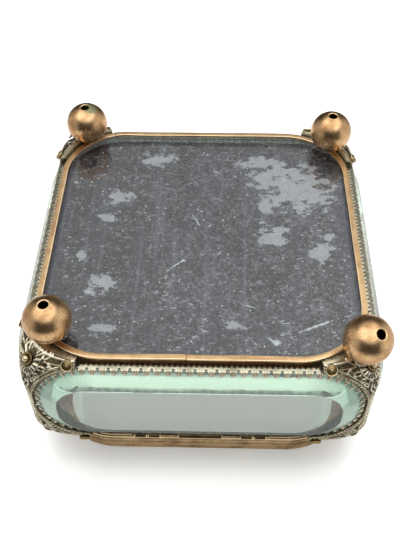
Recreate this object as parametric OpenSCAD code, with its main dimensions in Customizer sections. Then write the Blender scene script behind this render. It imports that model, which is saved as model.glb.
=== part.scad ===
// Square casket of thick bevelled glass in a brass frame, standing on four ball feet.
// X runs left to right, the lid opens at the front (-Y) and the hinge is at the back (+Y).
// The origin is on the surface the casket stands on, under the middle of its footprint.

/* [Frame] */
// Outside width and depth of the square brass frame
frame_w = 110; // [90:1:140]
// Outside radius of the frame's corners
frame_r = 24; // [20:0.5:28]
// Height of the body, from the underside of the base rim to the top of the top rim
body_h = 47; // [40:0.5:70]
// Thickness of the brass sheet in the rims and the lid band
sheet_t = 0.8; // [0.6:0.1:1.1]
// Width of the rims' lips, measured from the outside
lip_w = 2.2; // [1.6:0.1:3]
// Height of the base rim
base_rim_h = 6; // [5.8:0.1:8]
// Height of the top rim
top_rim_h = 6.5; // [5:0.1:8]
// Clearance round a piece that is laid in or soldered against another
seat_gap = 0.1; // [0.05:0.05:0.15]

/* [Glass] */
// Thickness of the side glasses and the lid glass
glass_t = 5.5; // [4.8:0.1:7]
// Width of the bevel round each of them
bevel_w = 7.2; // [5:0.1:9]
// Depth of that bevel at the glass's edge
bevel_drop = 3.8; // [2.5:0.1:4]
// Thickness of the base glass
base_glass_t = 4; // [3:0.1:4.2]
// Thickness of the black sheet over the base glass
lining_t = 0.4; // [0.2:0.1:0.8]

/* [Bezels] */
// Half the straight length between the two corners at each end of a side bezel
bezel_straight = 1.4; // [1:0.1:6]
// Thickness of the serrated bezel strip
strip_t = 0.4; // [0.3:0.05:0.6]
// Width of the flange that backs each glass
flange_w = 1.2; // [0.8:0.1:2]
// Distance from one tooth to the next
tooth_pitch = 3.3; // [2.5:0.1:5]
// How far a tooth reaches over the bevel
tooth_l = 1.3; // [0.8:0.1:2]
// Height of the side bezels' lower edge above the base rim's underside
bezel_foot = 2.5; // [1.5:0.1:4]
// Distance of the side bezels' upper edge below the top of the body
bezel_head = 3.5; // [2.5:0.1:5]
// Distance of a side bezel's end short of the frame's side
bezel_end_gap = 0.3; // [0.2:0.1:1]

/* [Corner mounts] */
// Thickness of the stamped mounts
mount_t = 0.5; // [0.4:0.05:0.6]
// How far a mount swells out beyond the frame
mount_out = 2.2; // [1.5:0.1:2.6]
// Radius of a mount's bend at its waist
mount_r = 4; // [2:0.5:8]
// Distance of the arm ends in from the frame's corners
arm_in = 16.5; // [13:0.5:25]
// Height of the rosettes from the nearer end of the body
rosette_h = 2.6; // [2.4:0.1:5]
// Radius of the rosettes' plates
rosette_r = 2.2; // [1.5:0.1:2.6]
// Distance of the cups in from the frame's corners
cup_in = 14; // [11:0.5:19]
// Radius of the cups at the arm ends
cup_r = 1.9; // [1.2:0.1:2]

/* [Feet] */
// Diameter of the ball feet
foot_d = 15.6; // [12:0.1:18]
// Distance of the foot pegs in from the frame's sides, along X and along Y
foot_in = 6.5; // [5:0.5:19]
// Diameter of the hole drilled up into each ball
foot_hole_d = 3.1; // [2.8:0.1:4]
// Diameter of the pegs that carry the balls
peg_d = 2; // [1.6:0.1:2.4]
// Radius of the peg's collar under the frame
collar_r = 3.4; // [2.5:0.1:4]
// Thickness of that collar
collar_t = 0.3; // [0.2:0.1:0.6]
// Height of the peg's end above the middle of the ball
peg_end = 0.5; // [0.2:0.1:3]
// Depth of the flat on top of each ball, where the collar seats
foot_flat = 0.6; // [0.4:0.1:1]
// How far the front left foot was soldered off its corner, outwards along X and along Y
front_left_off = [-1.6, 2.2]; // [-3:0.1:3]
// How far the front right foot was soldered off its corner
front_right_off = [0, -1.4]; // [-3:0.1:3]
// How far the back left foot was soldered off its corner
back_left_off = [-0.9, -2.7]; // [-3:0.1:3]
// How far the back right foot was soldered off its corner
back_right_off = [0, 0]; // [-3:0.1:3]
// Lean of the back right foot, outwards from its bent peg
back_right_lean = 30; // [0:1:35]

/* [Lid] */
// Gap between the body's top and the lid's lower edge
lid_gap = 0.3; // [0.2:0.05:0.4]
// Height of the lid, from its lower edge to the top of its band
lid_h = 10.9; // [9:0.1:16]
// Height of the lid's recessed lower lip
lid_lip_h = 3; // [2.6:0.1:4]
// How far that lip is set back from the band
lid_lip_in = 0.7; // [0.3:0.1:1]
// Depth of the glass's seat below the top of the band
lid_seat_drop = 2; // [0:0.1:3]
// Width of the seat under the lid glass
lid_seat_w = 4.5; // [3:0.1:7]

/* [Hinge] */
// Diameter of the hinge pin
pin_d = 1; // [0.8:0.1:1.2]
// Radial clearance of the pin in the knuckles
pin_fit = 0.05; // [0.02:0.01:0.1]
// Outside diameter of the knuckles
knuckle_d = 1.8; // [1.6:0.1:2.4]
// Length of the hinge pin
pin_l = 49; // [47.4:0.1:60]
// Length of the two lid knuckles and of the two body knuckles beside them
knuckle_l = 4.6; // [3:0.1:5]
// Length of the middle body knuckle
middle_knuckle_l = 16; // [8:0.5:24]
// Distance of the lid knuckles from the middle
lid_knuckle_x = 21.3; // [18:0.1:21.3]
// Gap between neighbouring knuckles
knuckle_gap = 0.3; // [0.2:0.05:0.6]

/* [Hidden] */
$fn = 64;
eps = 0.01;
brass = [0.72, 0.55, 0.34];
foot_brass = [0.70, 0.50, 0.32];
filigree_brass = [0.46, 0.42, 0.32];
clear_glass = [0.78, 0.90, 0.84, 0.6];
black_sheet = [0.24, 0.24, 0.26];

// Levels, all measured up from the surface the casket stands on
foot_r = foot_d / 2;
ball_flat_z = foot_d - foot_flat;
base_z = ball_flat_z + collar_t;
top_z = base_z + body_h;
lid_z = top_z + lid_gap;
lid_top_z = lid_z + lid_h;
lid_seat_z = lid_top_z - lid_seat_drop;
half_w = frame_w / 2;

// Where the feet, the mounts' arms and the cups stand, from the middle of each side
foot_at = half_w - foot_in;
arm_end = half_w - arm_in;
cup_x = half_w - cup_in;

// The cross-section of a glass and its bezel, measured out from the bezel's back
edge_t = glass_t - bevel_drop;
slope = atan(bevel_drop / bevel_w);
slope_lift = (1 - sin(slope)) / cos(slope);
bezel_wall = strip_t + seat_gap;
side_bezel_w = frame_w - 2 * bezel_end_gap;
side_bezel_h = body_h - bezel_foot - bezel_head;
bezel_r = side_bezel_h / 2 - bezel_straight;
lid_bezel_w = frame_w - 2 * (sheet_t + seat_gap);
lid_bezel_r = frame_r - sheet_t - seat_gap;

// The hinge's axis, and how far the knuckles' solder feet keep from the joint
hinge_y = half_w + knuckle_d / 2 + pin_fit;
hinge_z = top_z + lid_gap / 2;
knuckle_foot = 0.3;
body_knuckle_x = lid_knuckle_x - knuckle_l - knuckle_gap;

// The mounts' swelling section
swell_h = 4;
bend_h = 12;
mount_start = 0.25;
mount_gap = 3 * seat_gap;
mount_rows = 20;
mount_cols = 8;

// Signs of X and Y at each foot, with its offset and its lean
feet = [
    [-1, -1, front_left_off, 0],
    [1, -1, front_right_off, 0],
    [-1, 1, back_left_off, 0],
    [1, 1, back_right_off, back_right_lean]
];

// A rectangle with round corners, centred
module round_rect(w, h, r) {
    square([w - 2 * r, h], center = true);
    square([w, h - 2 * r], center = true);
    for (x = [-1, 1], y = [-1, 1])
        translate([x * (w / 2 - r), y * (h / 2 - r)]) circle(r);
}

// A square ring of the frame's outline between two heights, set in from the frame's face
module frame_ring(z0, z1, outer_in, inner_in) {
    translate([0, 0, z0]) linear_extrude(z1 - z0) difference() {
        round_rect(frame_w - 2 * outer_in, frame_w - 2 * outer_in, frame_r - outer_in);
        round_rect(frame_w - 2 * inner_in, frame_w - 2 * inner_in, frame_r - inner_in);
    }
}

// A plate of the frame's outline, set in from the frame's face
module frame_plate(z0, z1, set_in) {
    translate([0, 0, z0]) linear_extrude(z1 - z0)
        round_rect(frame_w - 2 * set_in, frame_w - 2 * set_in, frame_r - set_in);
}

// A bevelled glass in its bezel, which is w by h with corner radius r, grown evenly by g
module glass_shape(w, h, r, g) {
    gw = w - 2 * bezel_wall + 2 * g;
    gh = h - 2 * bezel_wall + 2 * g;
    gr = r - bezel_wall + g;
    lift = bezel_wall + g * slope_lift;
    hull() {
        translate([0, 0, bezel_wall - g]) linear_extrude(edge_t + g + g * slope_lift)
            round_rect(gw, gh, gr, $fn = 48);
        translate([0, 0, glass_t + lift - eps]) linear_extrude(eps)
            round_rect(gw - 2 * bevel_w, gh - 2 * bevel_w, max(gr - bevel_w, 1), $fn = 48);
    }
}

// The point at distance s along a round_rect outline moved inwards by d, from its right side
function outline_point(s, w, h, r, d) =
    let (a = w - 2 * r, b = h - 2 * r, q = PI * r / 2, side = b + q + a + q)
    s >= side ? -outline_point(s - side, w, h, r, d)
    : s < b ? [w / 2 - d, s - b / 2]
    : s < b + q ? let (t = (s - b) / r * 180 / PI)
        [a / 2 + (r - d) * cos(t), b / 2 + (r - d) * sin(t)]
    : s < b + q + a ? [a / 2 - (s - b - q), h / 2 - d]
    : let (t = 90 + (s - b - q - a) / r * 180 / PI)
        [-a / 2 + (r - d) * cos(t), b / 2 + (r - d) * sin(t)];

// The toothed opening of a bezel: teeth point inwards from the glass's edge
module toothed_opening(w, h, r) {
    path = 2 * (w - 2 * r) + 2 * (h - 2 * r) + 2 * PI * r;
    teeth = round(path / tooth_pitch);
    root_in = bezel_wall + seat_gap;
    tip_in = bezel_wall + tooth_l;
    polygon([for (i = [0 : 2 * teeth - 1])
        outline_point(i * path / teeth / 2, w, h, r, i % 2 == 0 ? root_in : tip_in)]);
}

// A bezel: a strip bent round a glass, with a flange behind it and teeth over its bevel
module bezel_shape(w, h, r) {
    back_in = bezel_wall + flange_w;
    difference() {
        glass_shape(w, h, r, bezel_wall);
        glass_shape(w, h, r, seat_gap);
        translate([0, 0, edge_t]) linear_extrude(2 * glass_t) toothed_opening(w, h, r);
        translate([0, 0, -1]) linear_extrude(2)
            round_rect(w - 2 * back_in, h - 2 * back_in, r - back_in);
    }
}

// Stands a panel made lying flat on the side of the frame at the given turn, front being 0
module on_side(turn) {
    rotate([0, 0, turn]) translate([0, -half_w, base_z + bezel_foot + side_bezel_h / 2])
        rotate([90, 0, 0]) children();
}

module side_glass(turn) {
    color(clear_glass) on_side(turn) glass_shape(side_bezel_w, side_bezel_h, bezel_r, 0);
}

module side_bezel(turn) {
    color(filigree_brass) on_side(turn) bezel_shape(side_bezel_w, side_bezel_h, bezel_r);
}

module base_rim() {
    color(brass) {
        frame_ring(base_z, base_z + sheet_t, 0, lip_w);
        frame_ring(base_z, base_z + base_rim_h, 0, sheet_t);
    }
}

module base_glass() {
    z = base_z + sheet_t + seat_gap;
    color(clear_glass) frame_plate(z, z + base_glass_t, sheet_t + seat_gap);
}

module base_lining() {
    z = base_z + sheet_t + base_glass_t + 2 * seat_gap;
    color(black_sheet) frame_plate(z, z + lining_t, sheet_t + seat_gap);
}

module top_rim() {
    color(brass) {
        frame_ring(top_z - sheet_t, top_z, 0, lip_w);
        frame_ring(top_z - top_rim_h, top_z, 0, sheet_t);
    }
}

// How far a quarter-ellipse of height e has swung out at height h from the nearer end
function swing(h, e) =
    let (n = min(h, body_h - h))
    n < e ? sqrt(1 - pow(1 - n / e, 2)) : 1;

// Half width of the mount's outline, and its corner radius, at height h
function mount_half(h) = half_w + seat_gap + mount_out * swing(h, swell_h);
function mount_bend(h) = frame_r - (frame_r - mount_r) * swing(h, bend_h);

// Where the mount ends beside the side bezel at height h, from the middle of the side
function mount_edge(h) =
    let (
        n = min(h - bezel_foot, side_bezel_h - (h - bezel_foot)),
        end_x = side_bezel_w / 2 - bezel_r,
        reach = bezel_r + mount_gap
    )
    n <= -mount_gap ? arm_end
    : n < bezel_r ? max(arm_end, end_x + sqrt(pow(reach, 2) - pow(bezel_r - n, 2)))
    : end_x + reach;

// A point of the mount's section at height h, t running from its diagonal (0) to its end (1)
function mount_point(h, t, out) =
    let (
        w = mount_half(h),
        r = mount_bend(h),
        c = w - r,
        x = mount_edge(h),
        bent = x > c ? 45 - asin(min((x - c) / r, 0.999)) : 45,
        arc = r * bent * PI / 180,
        s = t * (arc + max(c - x, 0)),
        a = 45 + min(s, arc) / r * 180 / PI
    )
    [c + (r + out) * cos(a) - max(s - arc, 0), c + (r + out) * sin(a)];

// The outward normal of the mount's upright section at height h: [out, up]
function mount_normal(h) =
    let (n = swing(h, swell_h))
    [n, (h < body_h / 2 ? -1 : 1) * sqrt(1 - n * n)];

function mount_height(i) =
    mount_start + (body_h - 2 * mount_start) * (1 - cos(180 * i / mount_rows)) / 2;

// One row of the mount's points, from one arm round the corner to the other
function mount_row(i, thick) =
    let (h = mount_height(i), n = mount_normal(h))
    [for (j = [-mount_cols : mount_cols])
        let (p = mount_point(h, abs(j) / mount_cols, thick * n[0]))
        [j > 0 ? p[0] : p[1], j > 0 ? p[1] : p[0], base_z + h + thick * n[1]]];

// A stamped sheet bent round the corner at +X +Y, with a waist between the two side bezels
module mount_sheet() {
    cols = 2 * mount_cols + 1;
    layer = cols * (mount_rows + 1);
    points = [for (thick = [0, mount_t], i = [0 : mount_rows]) each mount_row(i, thick)];
    skin = [for (i = [0 : mount_rows - 1], j = [0 : cols - 2])
        let (a = i * cols + j) each [[a, a + 1, a + cols + 1], [a, a + cols + 1, a + cols]]];
    rim = concat(
        [for (j = [0 : cols - 1]) j],
        [for (i = [1 : mount_rows]) i * cols + cols - 1],
        [for (j = [1 : cols - 1]) mount_rows * cols + cols - 1 - j],
        [for (i = [1 : mount_rows - 1]) (mount_rows - i) * cols]
    );
    edge = [for (k = [0 : len(rim) - 1])
        let (a = rim[k], b = rim[(k + 1) % len(rim)])
        each [[a, a + layer, b + layer], [a, b + layer, b]]];
    polyhedron(points, concat(
        skin,
        [for (f = skin) [f[2] + layer, f[1] + layer, f[0] + layer]],
        edge
    ));
}

// Where a foot's peg is soldered under the frame
function peg_place(foot) = [
    foot[0] * (foot_at + foot[2][0]),
    foot[1] * (foot_at + foot[2][1]),
    base_z
];

// Turns the children from straight down to a foot's own lean, outwards from its corner
module leaned(foot) {
    rotate([0, 0, atan2(foot[1], foot[0])]) rotate([0, -foot[3], 0]) children();
}

// The middle of a foot's ball, on the line of its peg
function ball_place(foot) =
    let (
        p = peg_place(foot),
        reach = (base_z - foot_r) * tan(foot[3]) / sqrt(2)
    )
    [p[0] + foot[0] * reach, p[1] + foot[1] * reach, foot_r];

module ball_foot(foot) {
    color(foot_brass) difference() {
        translate(ball_place(foot)) sphere(foot_r);
        translate(ball_place(foot)) leaned(foot) {
            translate([0, 0, -foot_d]) cylinder(h = foot_d, d = foot_hole_d);
            cylinder(h = foot_d, d = peg_d + 2 * seat_gap);
        }
        translate([0, 0, ball_flat_z]) linear_extrude(foot_d)
            translate([ball_place(foot)[0], ball_place(foot)[1]])
            square(2 * foot_d, center = true);
    }
}

module foot_pegs() {
    color(brass) for (foot = feet) {
        translate([peg_place(foot)[0], peg_place(foot)[1], ball_flat_z])
            cylinder(h = collar_t, r = collar_r);
        intersection() {
            translate(ball_place(foot)) leaned(foot) translate([0, 0, peg_end])
                cylinder(h = foot_d, d = peg_d);
            linear_extrude(base_z) square(2 * frame_w, center = true);
        }
    }
}

// The mount at one corner, notched for the collar of its foot's peg
module corner_mount(foot) {
    turn = atan2(foot[1], foot[0]) - 45;
    color(filigree_brass) difference() {
        rotate([0, 0, turn]) mount_sheet();
        translate([peg_place(foot)[0], peg_place(foot)[1], 0])
            cylinder(h = base_z + collar_t, r = collar_r + seat_gap);
    }
}

// Sets the children, which point up, on the outside of the mounts at p, facing out along n
module facing(p, n) {
    tilt = atan2(sqrt(n[0] * n[0] + n[1] * n[1]), n[2]);
    translate(p) rotate([0, tilt, atan2(n[1], n[0])]) children();
}

// The upright slope of the mount's diagonal at height h, as an outward normal [out, up]
function diagonal_normal(h) =
    let (
        step = 0.1,
        run = norm(mount_point(h + step, 0, 0)) - norm(mount_point(h - step, 0, 0)),
        l = sqrt(run * run + 4 * step * step)
    )
    [2 * step / l, -run / l];

// A half ball standing on its flat
module dome(r) {
    intersection() {
        sphere(r);
        cylinder(h = 2 * r, r = 2 * r);
    }
}

module rosettes() {
    color(brass) for (turn = [0 : 90 : 270], h = [rosette_h, body_h - rosette_h]) {
        p = mount_point(h, 0, 0);
        n = diagonal_normal(h);
        lift = mount_t + 3 * seat_gap;
        nx = n[0] / sqrt(2);
        rotate([0, 0, turn])
            facing([p[0] + lift * nx, p[1] + lift * nx, base_z + h + lift * n[1]], [nx, nx, n[1]]) {
                cylinder(h = mount_t, r = rosette_r);
                translate([0, 0, mount_t]) dome(rosette_r / 2);
            }
    }
}

module arm_cups() {
    lift = mount_t + seat_gap;
    color(brass) for (turn = [0 : 90 : 270], x = [-cup_x, cup_x], top = [0, 1]) {
        h = top * body_h + (1 - 2 * top) * cup_r * 0.7;
        n = mount_normal(h);
        y = mount_half(h) + lift * n[0];
        rotate([0, 0, turn]) facing([x, y, base_z + h + lift * n[1]], [0, n[0], n[1]]) {
            difference() {
                cylinder(h = 2 * mount_t, r = cup_r);
                translate([0, 0, mount_t]) cylinder(h = 2 * mount_t, r = cup_r - mount_t);
            }
            translate([0, 0, mount_t]) dome(cup_r / 2.5);
        }
    }
}

module lid_frame() {
    lip_top = lid_z + lid_lip_h;
    lip_in = lid_lip_in + sheet_t;
    bead_h = 1.4;
    color(brass) {
        frame_ring(lid_z, lip_top + sheet_t, lid_lip_in, lip_in);
        frame_ring(lip_top - bead_h, lip_top + sheet_t, lid_lip_in / 2, lip_in);
        frame_ring(lip_top, lip_top + sheet_t, 0, lip_in);
        frame_ring(lip_top, lid_top_z, 0, sheet_t);
        frame_ring(lid_seat_z - sheet_t, lid_seat_z, 0, sheet_t + lid_seat_w);
    }
}

module lid_bezel() {
    color(filigree_brass) translate([0, 0, lid_seat_z])
        bezel_shape(lid_bezel_w, lid_bezel_w, lid_bezel_r);
}

module lid_glass() {
    color(clear_glass) translate([0, 0, lid_seat_z])
        glass_shape(lid_bezel_w, lid_bezel_w, lid_bezel_r, 0);
}

// A knuckle of length l centred on x, with a solder foot from y0 outwards and from z0 up to z1
module knuckle(x, l, y0, z0, z1) {
    difference() {
        union() {
            translate([x - l / 2, hinge_y, hinge_z]) rotate([0, 90, 0])
                cylinder(h = l, d = knuckle_d);
            translate([x - l / 2, y0, z0]) cube([l, hinge_y - y0, z1 - z0]);
        }
        translate([x - l / 2 - 1, hinge_y, hinge_z]) rotate([0, 90, 0])
            cylinder(h = l + 2, d = pin_d + 2 * pin_fit);
    }
}

module body_knuckles() {
    z1 = top_z - knuckle_foot / 2;
    color(brass) {
        for (x = [-1, 1])
            knuckle(x * body_knuckle_x, knuckle_l, half_w, z1 - knuckle_d, z1);
        knuckle(0, middle_knuckle_l, half_w, z1 - knuckle_d, z1);
    }
}

module lid_knuckles() {
    z0 = lid_z + knuckle_foot / 2;
    color(brass) for (x = [-1, 1])
        knuckle(x * lid_knuckle_x, knuckle_l, half_w - lid_lip_in, z0, z0 + knuckle_d / 2);
}

module hinge_pin() {
    color(brass) translate([-pin_l / 2, hinge_y, hinge_z]) rotate([0, 90, 0])
        cylinder(h = pin_l, d = pin_d);
}

base_rim();
base_glass();
base_lining();
top_rim();
side_glass(0);  // front_glass
side_glass(180);  // back_glass
side_glass(270);  // left_glass
side_glass(90);  // right_glass
side_bezel(0);  // front_bezel
side_bezel(180);  // back_bezel
side_bezel(270);  // left_bezel
side_bezel(90);  // right_bezel
corner_mount(feet[0]);  // front_left_mount
corner_mount(feet[1]);  // front_right_mount
corner_mount(feet[2]);  // back_left_mount
corner_mount(feet[3]);  // back_right_mount
rosettes();
arm_cups();
ball_foot(feet[0]);  // front_left_foot
ball_foot(feet[1]);  // front_right_foot
ball_foot(feet[2]);  // back_left_foot
ball_foot(feet[3]);  // back_right_foot
foot_pegs();
lid_frame();
lid_bezel();
lid_glass();
body_knuckles();
lid_knuckles();
hinge_pin();
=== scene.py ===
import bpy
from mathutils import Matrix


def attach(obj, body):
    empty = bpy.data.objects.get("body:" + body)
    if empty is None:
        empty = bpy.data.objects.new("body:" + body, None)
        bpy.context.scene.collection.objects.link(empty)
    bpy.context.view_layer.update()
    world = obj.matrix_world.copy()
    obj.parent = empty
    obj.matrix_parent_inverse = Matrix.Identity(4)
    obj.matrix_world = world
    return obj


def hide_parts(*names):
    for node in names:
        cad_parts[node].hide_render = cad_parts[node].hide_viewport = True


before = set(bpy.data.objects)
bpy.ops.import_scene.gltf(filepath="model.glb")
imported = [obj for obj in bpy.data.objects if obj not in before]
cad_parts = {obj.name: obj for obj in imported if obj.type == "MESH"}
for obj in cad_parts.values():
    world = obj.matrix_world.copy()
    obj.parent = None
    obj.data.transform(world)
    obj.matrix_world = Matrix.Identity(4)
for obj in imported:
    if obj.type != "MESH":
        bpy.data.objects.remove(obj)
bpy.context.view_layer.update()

import math

import bpy
import numpy as np
from mathutils import Matrix, Vector

scene = bpy.context.scene
scene.view_settings.view_transform = "Standard"
# Light runs down inside the thick glasses by many inner reflections
scene.cycles.max_bounces = 24
scene.cycles.glossy_bounces = 16
scene.cycles.transmission_bounces = 20
scene.cycles.transparent_max_bounces = 24

# Lengths are in millimetres until a mesh is made. X runs left to right, the lid opens at the
# front (-Y), the hinge is at the back (+Y), and Z is up from the surface under the feet
mm = 0.001

# The brass frame that everything else is set against: half its width, its corner radius, the
# levels of the base rim, top rim, lid band and lid glass, the level of the panels' middles, and
# the height of the mounts between the rims
casket = {"half": 55.0, "radius": 24.0, "base": 15.3, "top": 62.3, "lid": 62.6, "seat": 71.5,
          "panelMiddle": 38.3, "height": 47.0}


# Points and outward normals at arc lengths along a rectangle with round corners. The path starts
# at the foot of the right side and runs anticlockwise. Its first half is side, corner, side,
# corner, and the second half is the first turned by half a turn
def outlineAt(steps, width, depth, radius):
    a, b, q = width - 2 * radius, depth - 2 * radius, math.pi * radius / 2
    half = a + b + 2 * q
    sign = np.where(steps % (2 * half) >= half, -1.0, 1.0)[:, None]
    t = steps % half
    angle = (np.clip(t - b, 0, q) + np.clip(t - b - q - a, 0, q)) / radius
    normal = np.stack([np.cos(angle), np.sin(angle)], -1)
    centre = np.stack([a / 2 - np.clip(t - b - q, 0, a), np.clip(t, 0, b) - b / 2], -1)
    return sign * (centre + radius * normal), sign * normal


# The straight sides and the four quarter circles, added up
def outlineLength(width, depth, radius):
    return 2 * (width + depth - 4 * radius) + 2 * math.pi * radius


# Arc lengths that give every corner and every straight side its own number of steps
def outlineSteps(width, depth, radius, corner, straight=1):
    q = math.pi * radius / 2
    lengths = [depth - 2 * radius, q, width - 2 * radius, q] * 2
    counts = [straight, corner] * 4
    starts = np.cumsum([0] + lengths[:-1])
    return np.concatenate([s + l * np.arange(n) / n for s, l, n in zip(starts, lengths, counts)])


# Carries a profile round an outline: rows follow the path, columns follow the profile. out and up
# hold the profile's distances from the outline and its heights, either one profile for the whole
# path or one row for each step
def sweep(steps, size, out, up):
    point, normal = outlineAt(steps, *size)
    out, up = np.broadcast_arrays(np.atleast_2d(out), np.atleast_2d(up))
    out = np.broadcast_to(out, (len(steps), out.shape[1]))
    up = np.broadcast_to(up, out.shape)
    flat = point[:, None, :] + out[:, :, None] * normal[:, None, :]
    return np.dstack([flat, up])


# Quads of a grid numbered row by row, joined end to end where asked
def gridFaces(rows, columns, wrapRows=True, wrapColumns=False):
    i = np.arange(rows if wrapRows else rows - 1)[:, None]
    j = np.arange(columns if wrapColumns else columns - 1)[None, :]
    nextRow, nextColumn = (i + 1) % rows * columns, (j + 1) % columns
    corners = [i * columns + j, nextRow + j, nextRow + nextColumn, i * columns + nextColumn]
    return np.stack(np.broadcast_arrays(*corners), -1).reshape(-1, 4)


# Two lengths in millimetres for each corner of the quads of gridFaces
def gridUv(along, across, wrapRows=True, wrapColumns=False):
    rows = len(along) - (1 if wrapRows else 0)
    columns = len(across) - (1 if wrapColumns else 0)
    i = np.arange(rows if wrapRows else rows - 1)[:, None]
    j = np.arange(columns if wrapColumns else columns - 1)[None, :]
    s = [along[i], along[i + 1], along[i + 1], along[i]]
    t = [across[j], across[j], across[j + 1], across[j + 1]]
    pairs = [np.stack(np.broadcast_arrays(a, b), -1) for a, b in zip(s, t)]
    return np.stack(pairs, -2).reshape(-1, 2)


# Distance along a profile at each of its points, with the closing point if asked
def profileLengths(out, up, closed):
    points = np.stack([out, up], -1)
    if closed:
        points = np.vstack([points, points[:1]])
    return np.concatenate([[0], np.cumsum(np.linalg.norm(np.diff(points, axis=0), axis=1))])


# Points turned about Z by an angle in degrees
def turned(points, angle):
    c, s = math.cos(math.radians(angle)), math.sin(math.radians(angle))
    return points @ np.array([[c, s, 0], [-s, c, 0], [0, 0, 1]])


# Stands a panel's points (right, up, out) on the casket's side; turn 0 is the front
def onSide(points, turn):
    x, y, z = np.moveaxis(points, -1, 0)
    return turned(np.stack([x, -casket["half"] - z, casket["panelMiddle"] + y], -1), turn)


# Moves points made standing on the origin to a place, with their +Z along normal
def facing(points, place, normal):
    n = np.array(normal, float) / np.linalg.norm(normal)
    side = np.cross([0, 0, 1.0], n)
    side = side / np.linalg.norm(side) if np.linalg.norm(side) > 1e-6 else np.array([1.0, 0, 0])
    return np.array(place, float) + points @ np.stack([side, np.cross(n, side), n])


# A profile turned about Z: rows go round anticlockwise, columns follow the profile
def revolve(radius, height, steps):
    angle = 2 * math.pi * np.arange(steps) / steps
    r, z = np.array(radius, float), np.array(height, float)
    return np.stack([np.cos(angle)[:, None] * r, np.sin(angle)[:, None] * r,
                     np.broadcast_to(z, (steps, len(z)))], -1)


# Joins (points, faces, relief) parts into one list of points, faces and reliefs
def bundle(parts):
    points, faces, reliefs, start = [], [], [], 0
    for part, quads, relief in parts:
        flat = part.reshape(-1, 3)
        points.append(flat)
        faces.append(quads + start)
        reliefs.append(np.broadcast_to(relief, flat.shape[0]).ravel())
        start += len(flat)
    return np.vstack(points), np.vstack(faces), np.concatenate(reliefs)


# A mesh that rides on a body and stands for CAD nodes. caps are (ring of point numbers, centre)
# pairs, closed by a fan of triangles each
def makePiece(name, points, faces, material, body, nodes,
              sharp=35, relief=None, uv=None, caps=()):
    flat = np.asarray(points, float).reshape(-1, 3)
    polygons, extra = np.asarray(faces).tolist(), []
    for ring, centre in caps:
        number = len(flat) + len(extra)
        extra.append(centre)
        polygons += [[number, int(a), int(b)] for a, b in zip(ring, np.roll(ring, -1))]
    if extra:
        flat = np.vstack([flat, extra])
    mesh = bpy.data.meshes.new(name)
    mesh.from_pydata((flat * mm).tolist(), [], polygons)
    mesh.polygons.foreach_set("use_smooth", [True] * len(mesh.polygons))
    mesh.set_sharp_from_angle(angle=math.radians(sharp))
    values = np.full(len(flat), 0.5, np.float32)
    if relief is not None:
        values[: np.size(relief)] = np.ravel(relief)
    mesh.attributes.new("relief", "FLOAT", "POINT").data.foreach_set("value", values)
    layer = mesh.uv_layers.new(name="along")
    corners = np.zeros((len(mesh.loops), 2), np.float32)
    if uv is not None:
        corners[: len(uv)] = uv
    layer.data.foreach_set("uv", corners.ravel())
    mesh.materials.append(material)
    piece = bpy.data.objects.new(name, mesh)
    scene.collection.objects.link(piece)
    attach(piece, body)
    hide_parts(*nodes)
    return piece


# A CAD node that is kept as it is gets a material of this script's
def dress(node, material):
    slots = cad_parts[node].data.materials
    slots.clear()
    slots.append(material)


# A corner's name turned from back_left to backLeft, with what stands there
def cornerName(corner, kind):
    first, second = corner.split("_")
    return first + second.capitalize() + kind


# An sRGB colour of three numbers up to 255, as the linear colour of a socket
def linear(*colour):
    c = np.array(colour) / 255
    return (*np.where(c <= 0.04045, c / 12.92, ((c + 0.055) / 1.055) ** 2.4).tolist(), 1.0)


# A node with its settings, its inputs filled with values or linked to sockets
def add(tree, kind, inputs=None, **settings):
    node = tree.nodes.new("ShaderNode" + kind)
    for key, value in settings.items():
        setattr(node, key, value)
    for key, value in (inputs or {}).items():
        if isinstance(value, bpy.types.NodeSocket):
            tree.links.new(value, node.inputs[key])
        else:
            node.inputs[key].default_value = value
    return node


def compute(tree, operation, a, b=0.0, c=0.0, clamp=False):
    inputs = {0: a, 1: b}
    if operation == "MULTIPLY_ADD":
        inputs[2] = c
    return add(tree, "Math", inputs, operation=operation, use_clamp=clamp).outputs[0]


# A value brought from low..high to start..end with a soft step
def mask(tree, value, low, high, start=0.0, end=1.0):
    return add(tree, "MapRange", {"Value": value, "From Min": low, "From Max": high,
               "To Min": start, "To Max": end}, interpolation_type="SMOOTHSTEP").outputs[0]


def mix(tree, factor, a, b, blend="MIX"):
    return add(tree, "Mix", {0: factor, 6: a, 7: b}, data_type="RGBA",
               blend_type=blend).outputs[2]


# Object coordinates in millimetres
def millimetres(tree):
    where = add(tree, "TexCoord").outputs["Object"]
    return add(tree, "VectorMath", {0: where, "Scale": 1 / mm}, operation="SCALE").outputs[0]


# The height above the surface under the feet, in millimetres
def heightOf(tree):
    return add(tree, "SeparateXYZ", {0: millimetres(tree)}).outputs["Z"]


def attribute(tree, name):
    return add(tree, "Attribute", attribute_name=name).outputs["Fac"]


# Vector maths; the second vector stays at 0 where the operation has no use for it
def vectors(tree, operation, a, b=(0.0, 0.0, 0.0)):
    return add(tree, "VectorMath", {0: a, 1: b}, operation=operation).outputs[0]


def lengthOf(tree, vector):
    return add(tree, "VectorMath", {0: vector}, operation="LENGTH").outputs["Value"]


def noise(tree, where, scale, detail=2.0, roughness=0.5, stretch=None):
    if stretch:
        where = vectors(tree, "MULTIPLY", where, stretch)
    return add(tree, "TexNoise", {"Vector": where, "Scale": scale, "Detail": detail,
               "Roughness": roughness}).outputs[0]


# A value plus a noise about its middle, times amount
def uneven(tree, value, by, amount):
    return compute(tree, "ADD", value, compute(tree, "MULTIPLY_ADD", by, amount, -amount / 2))


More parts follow.
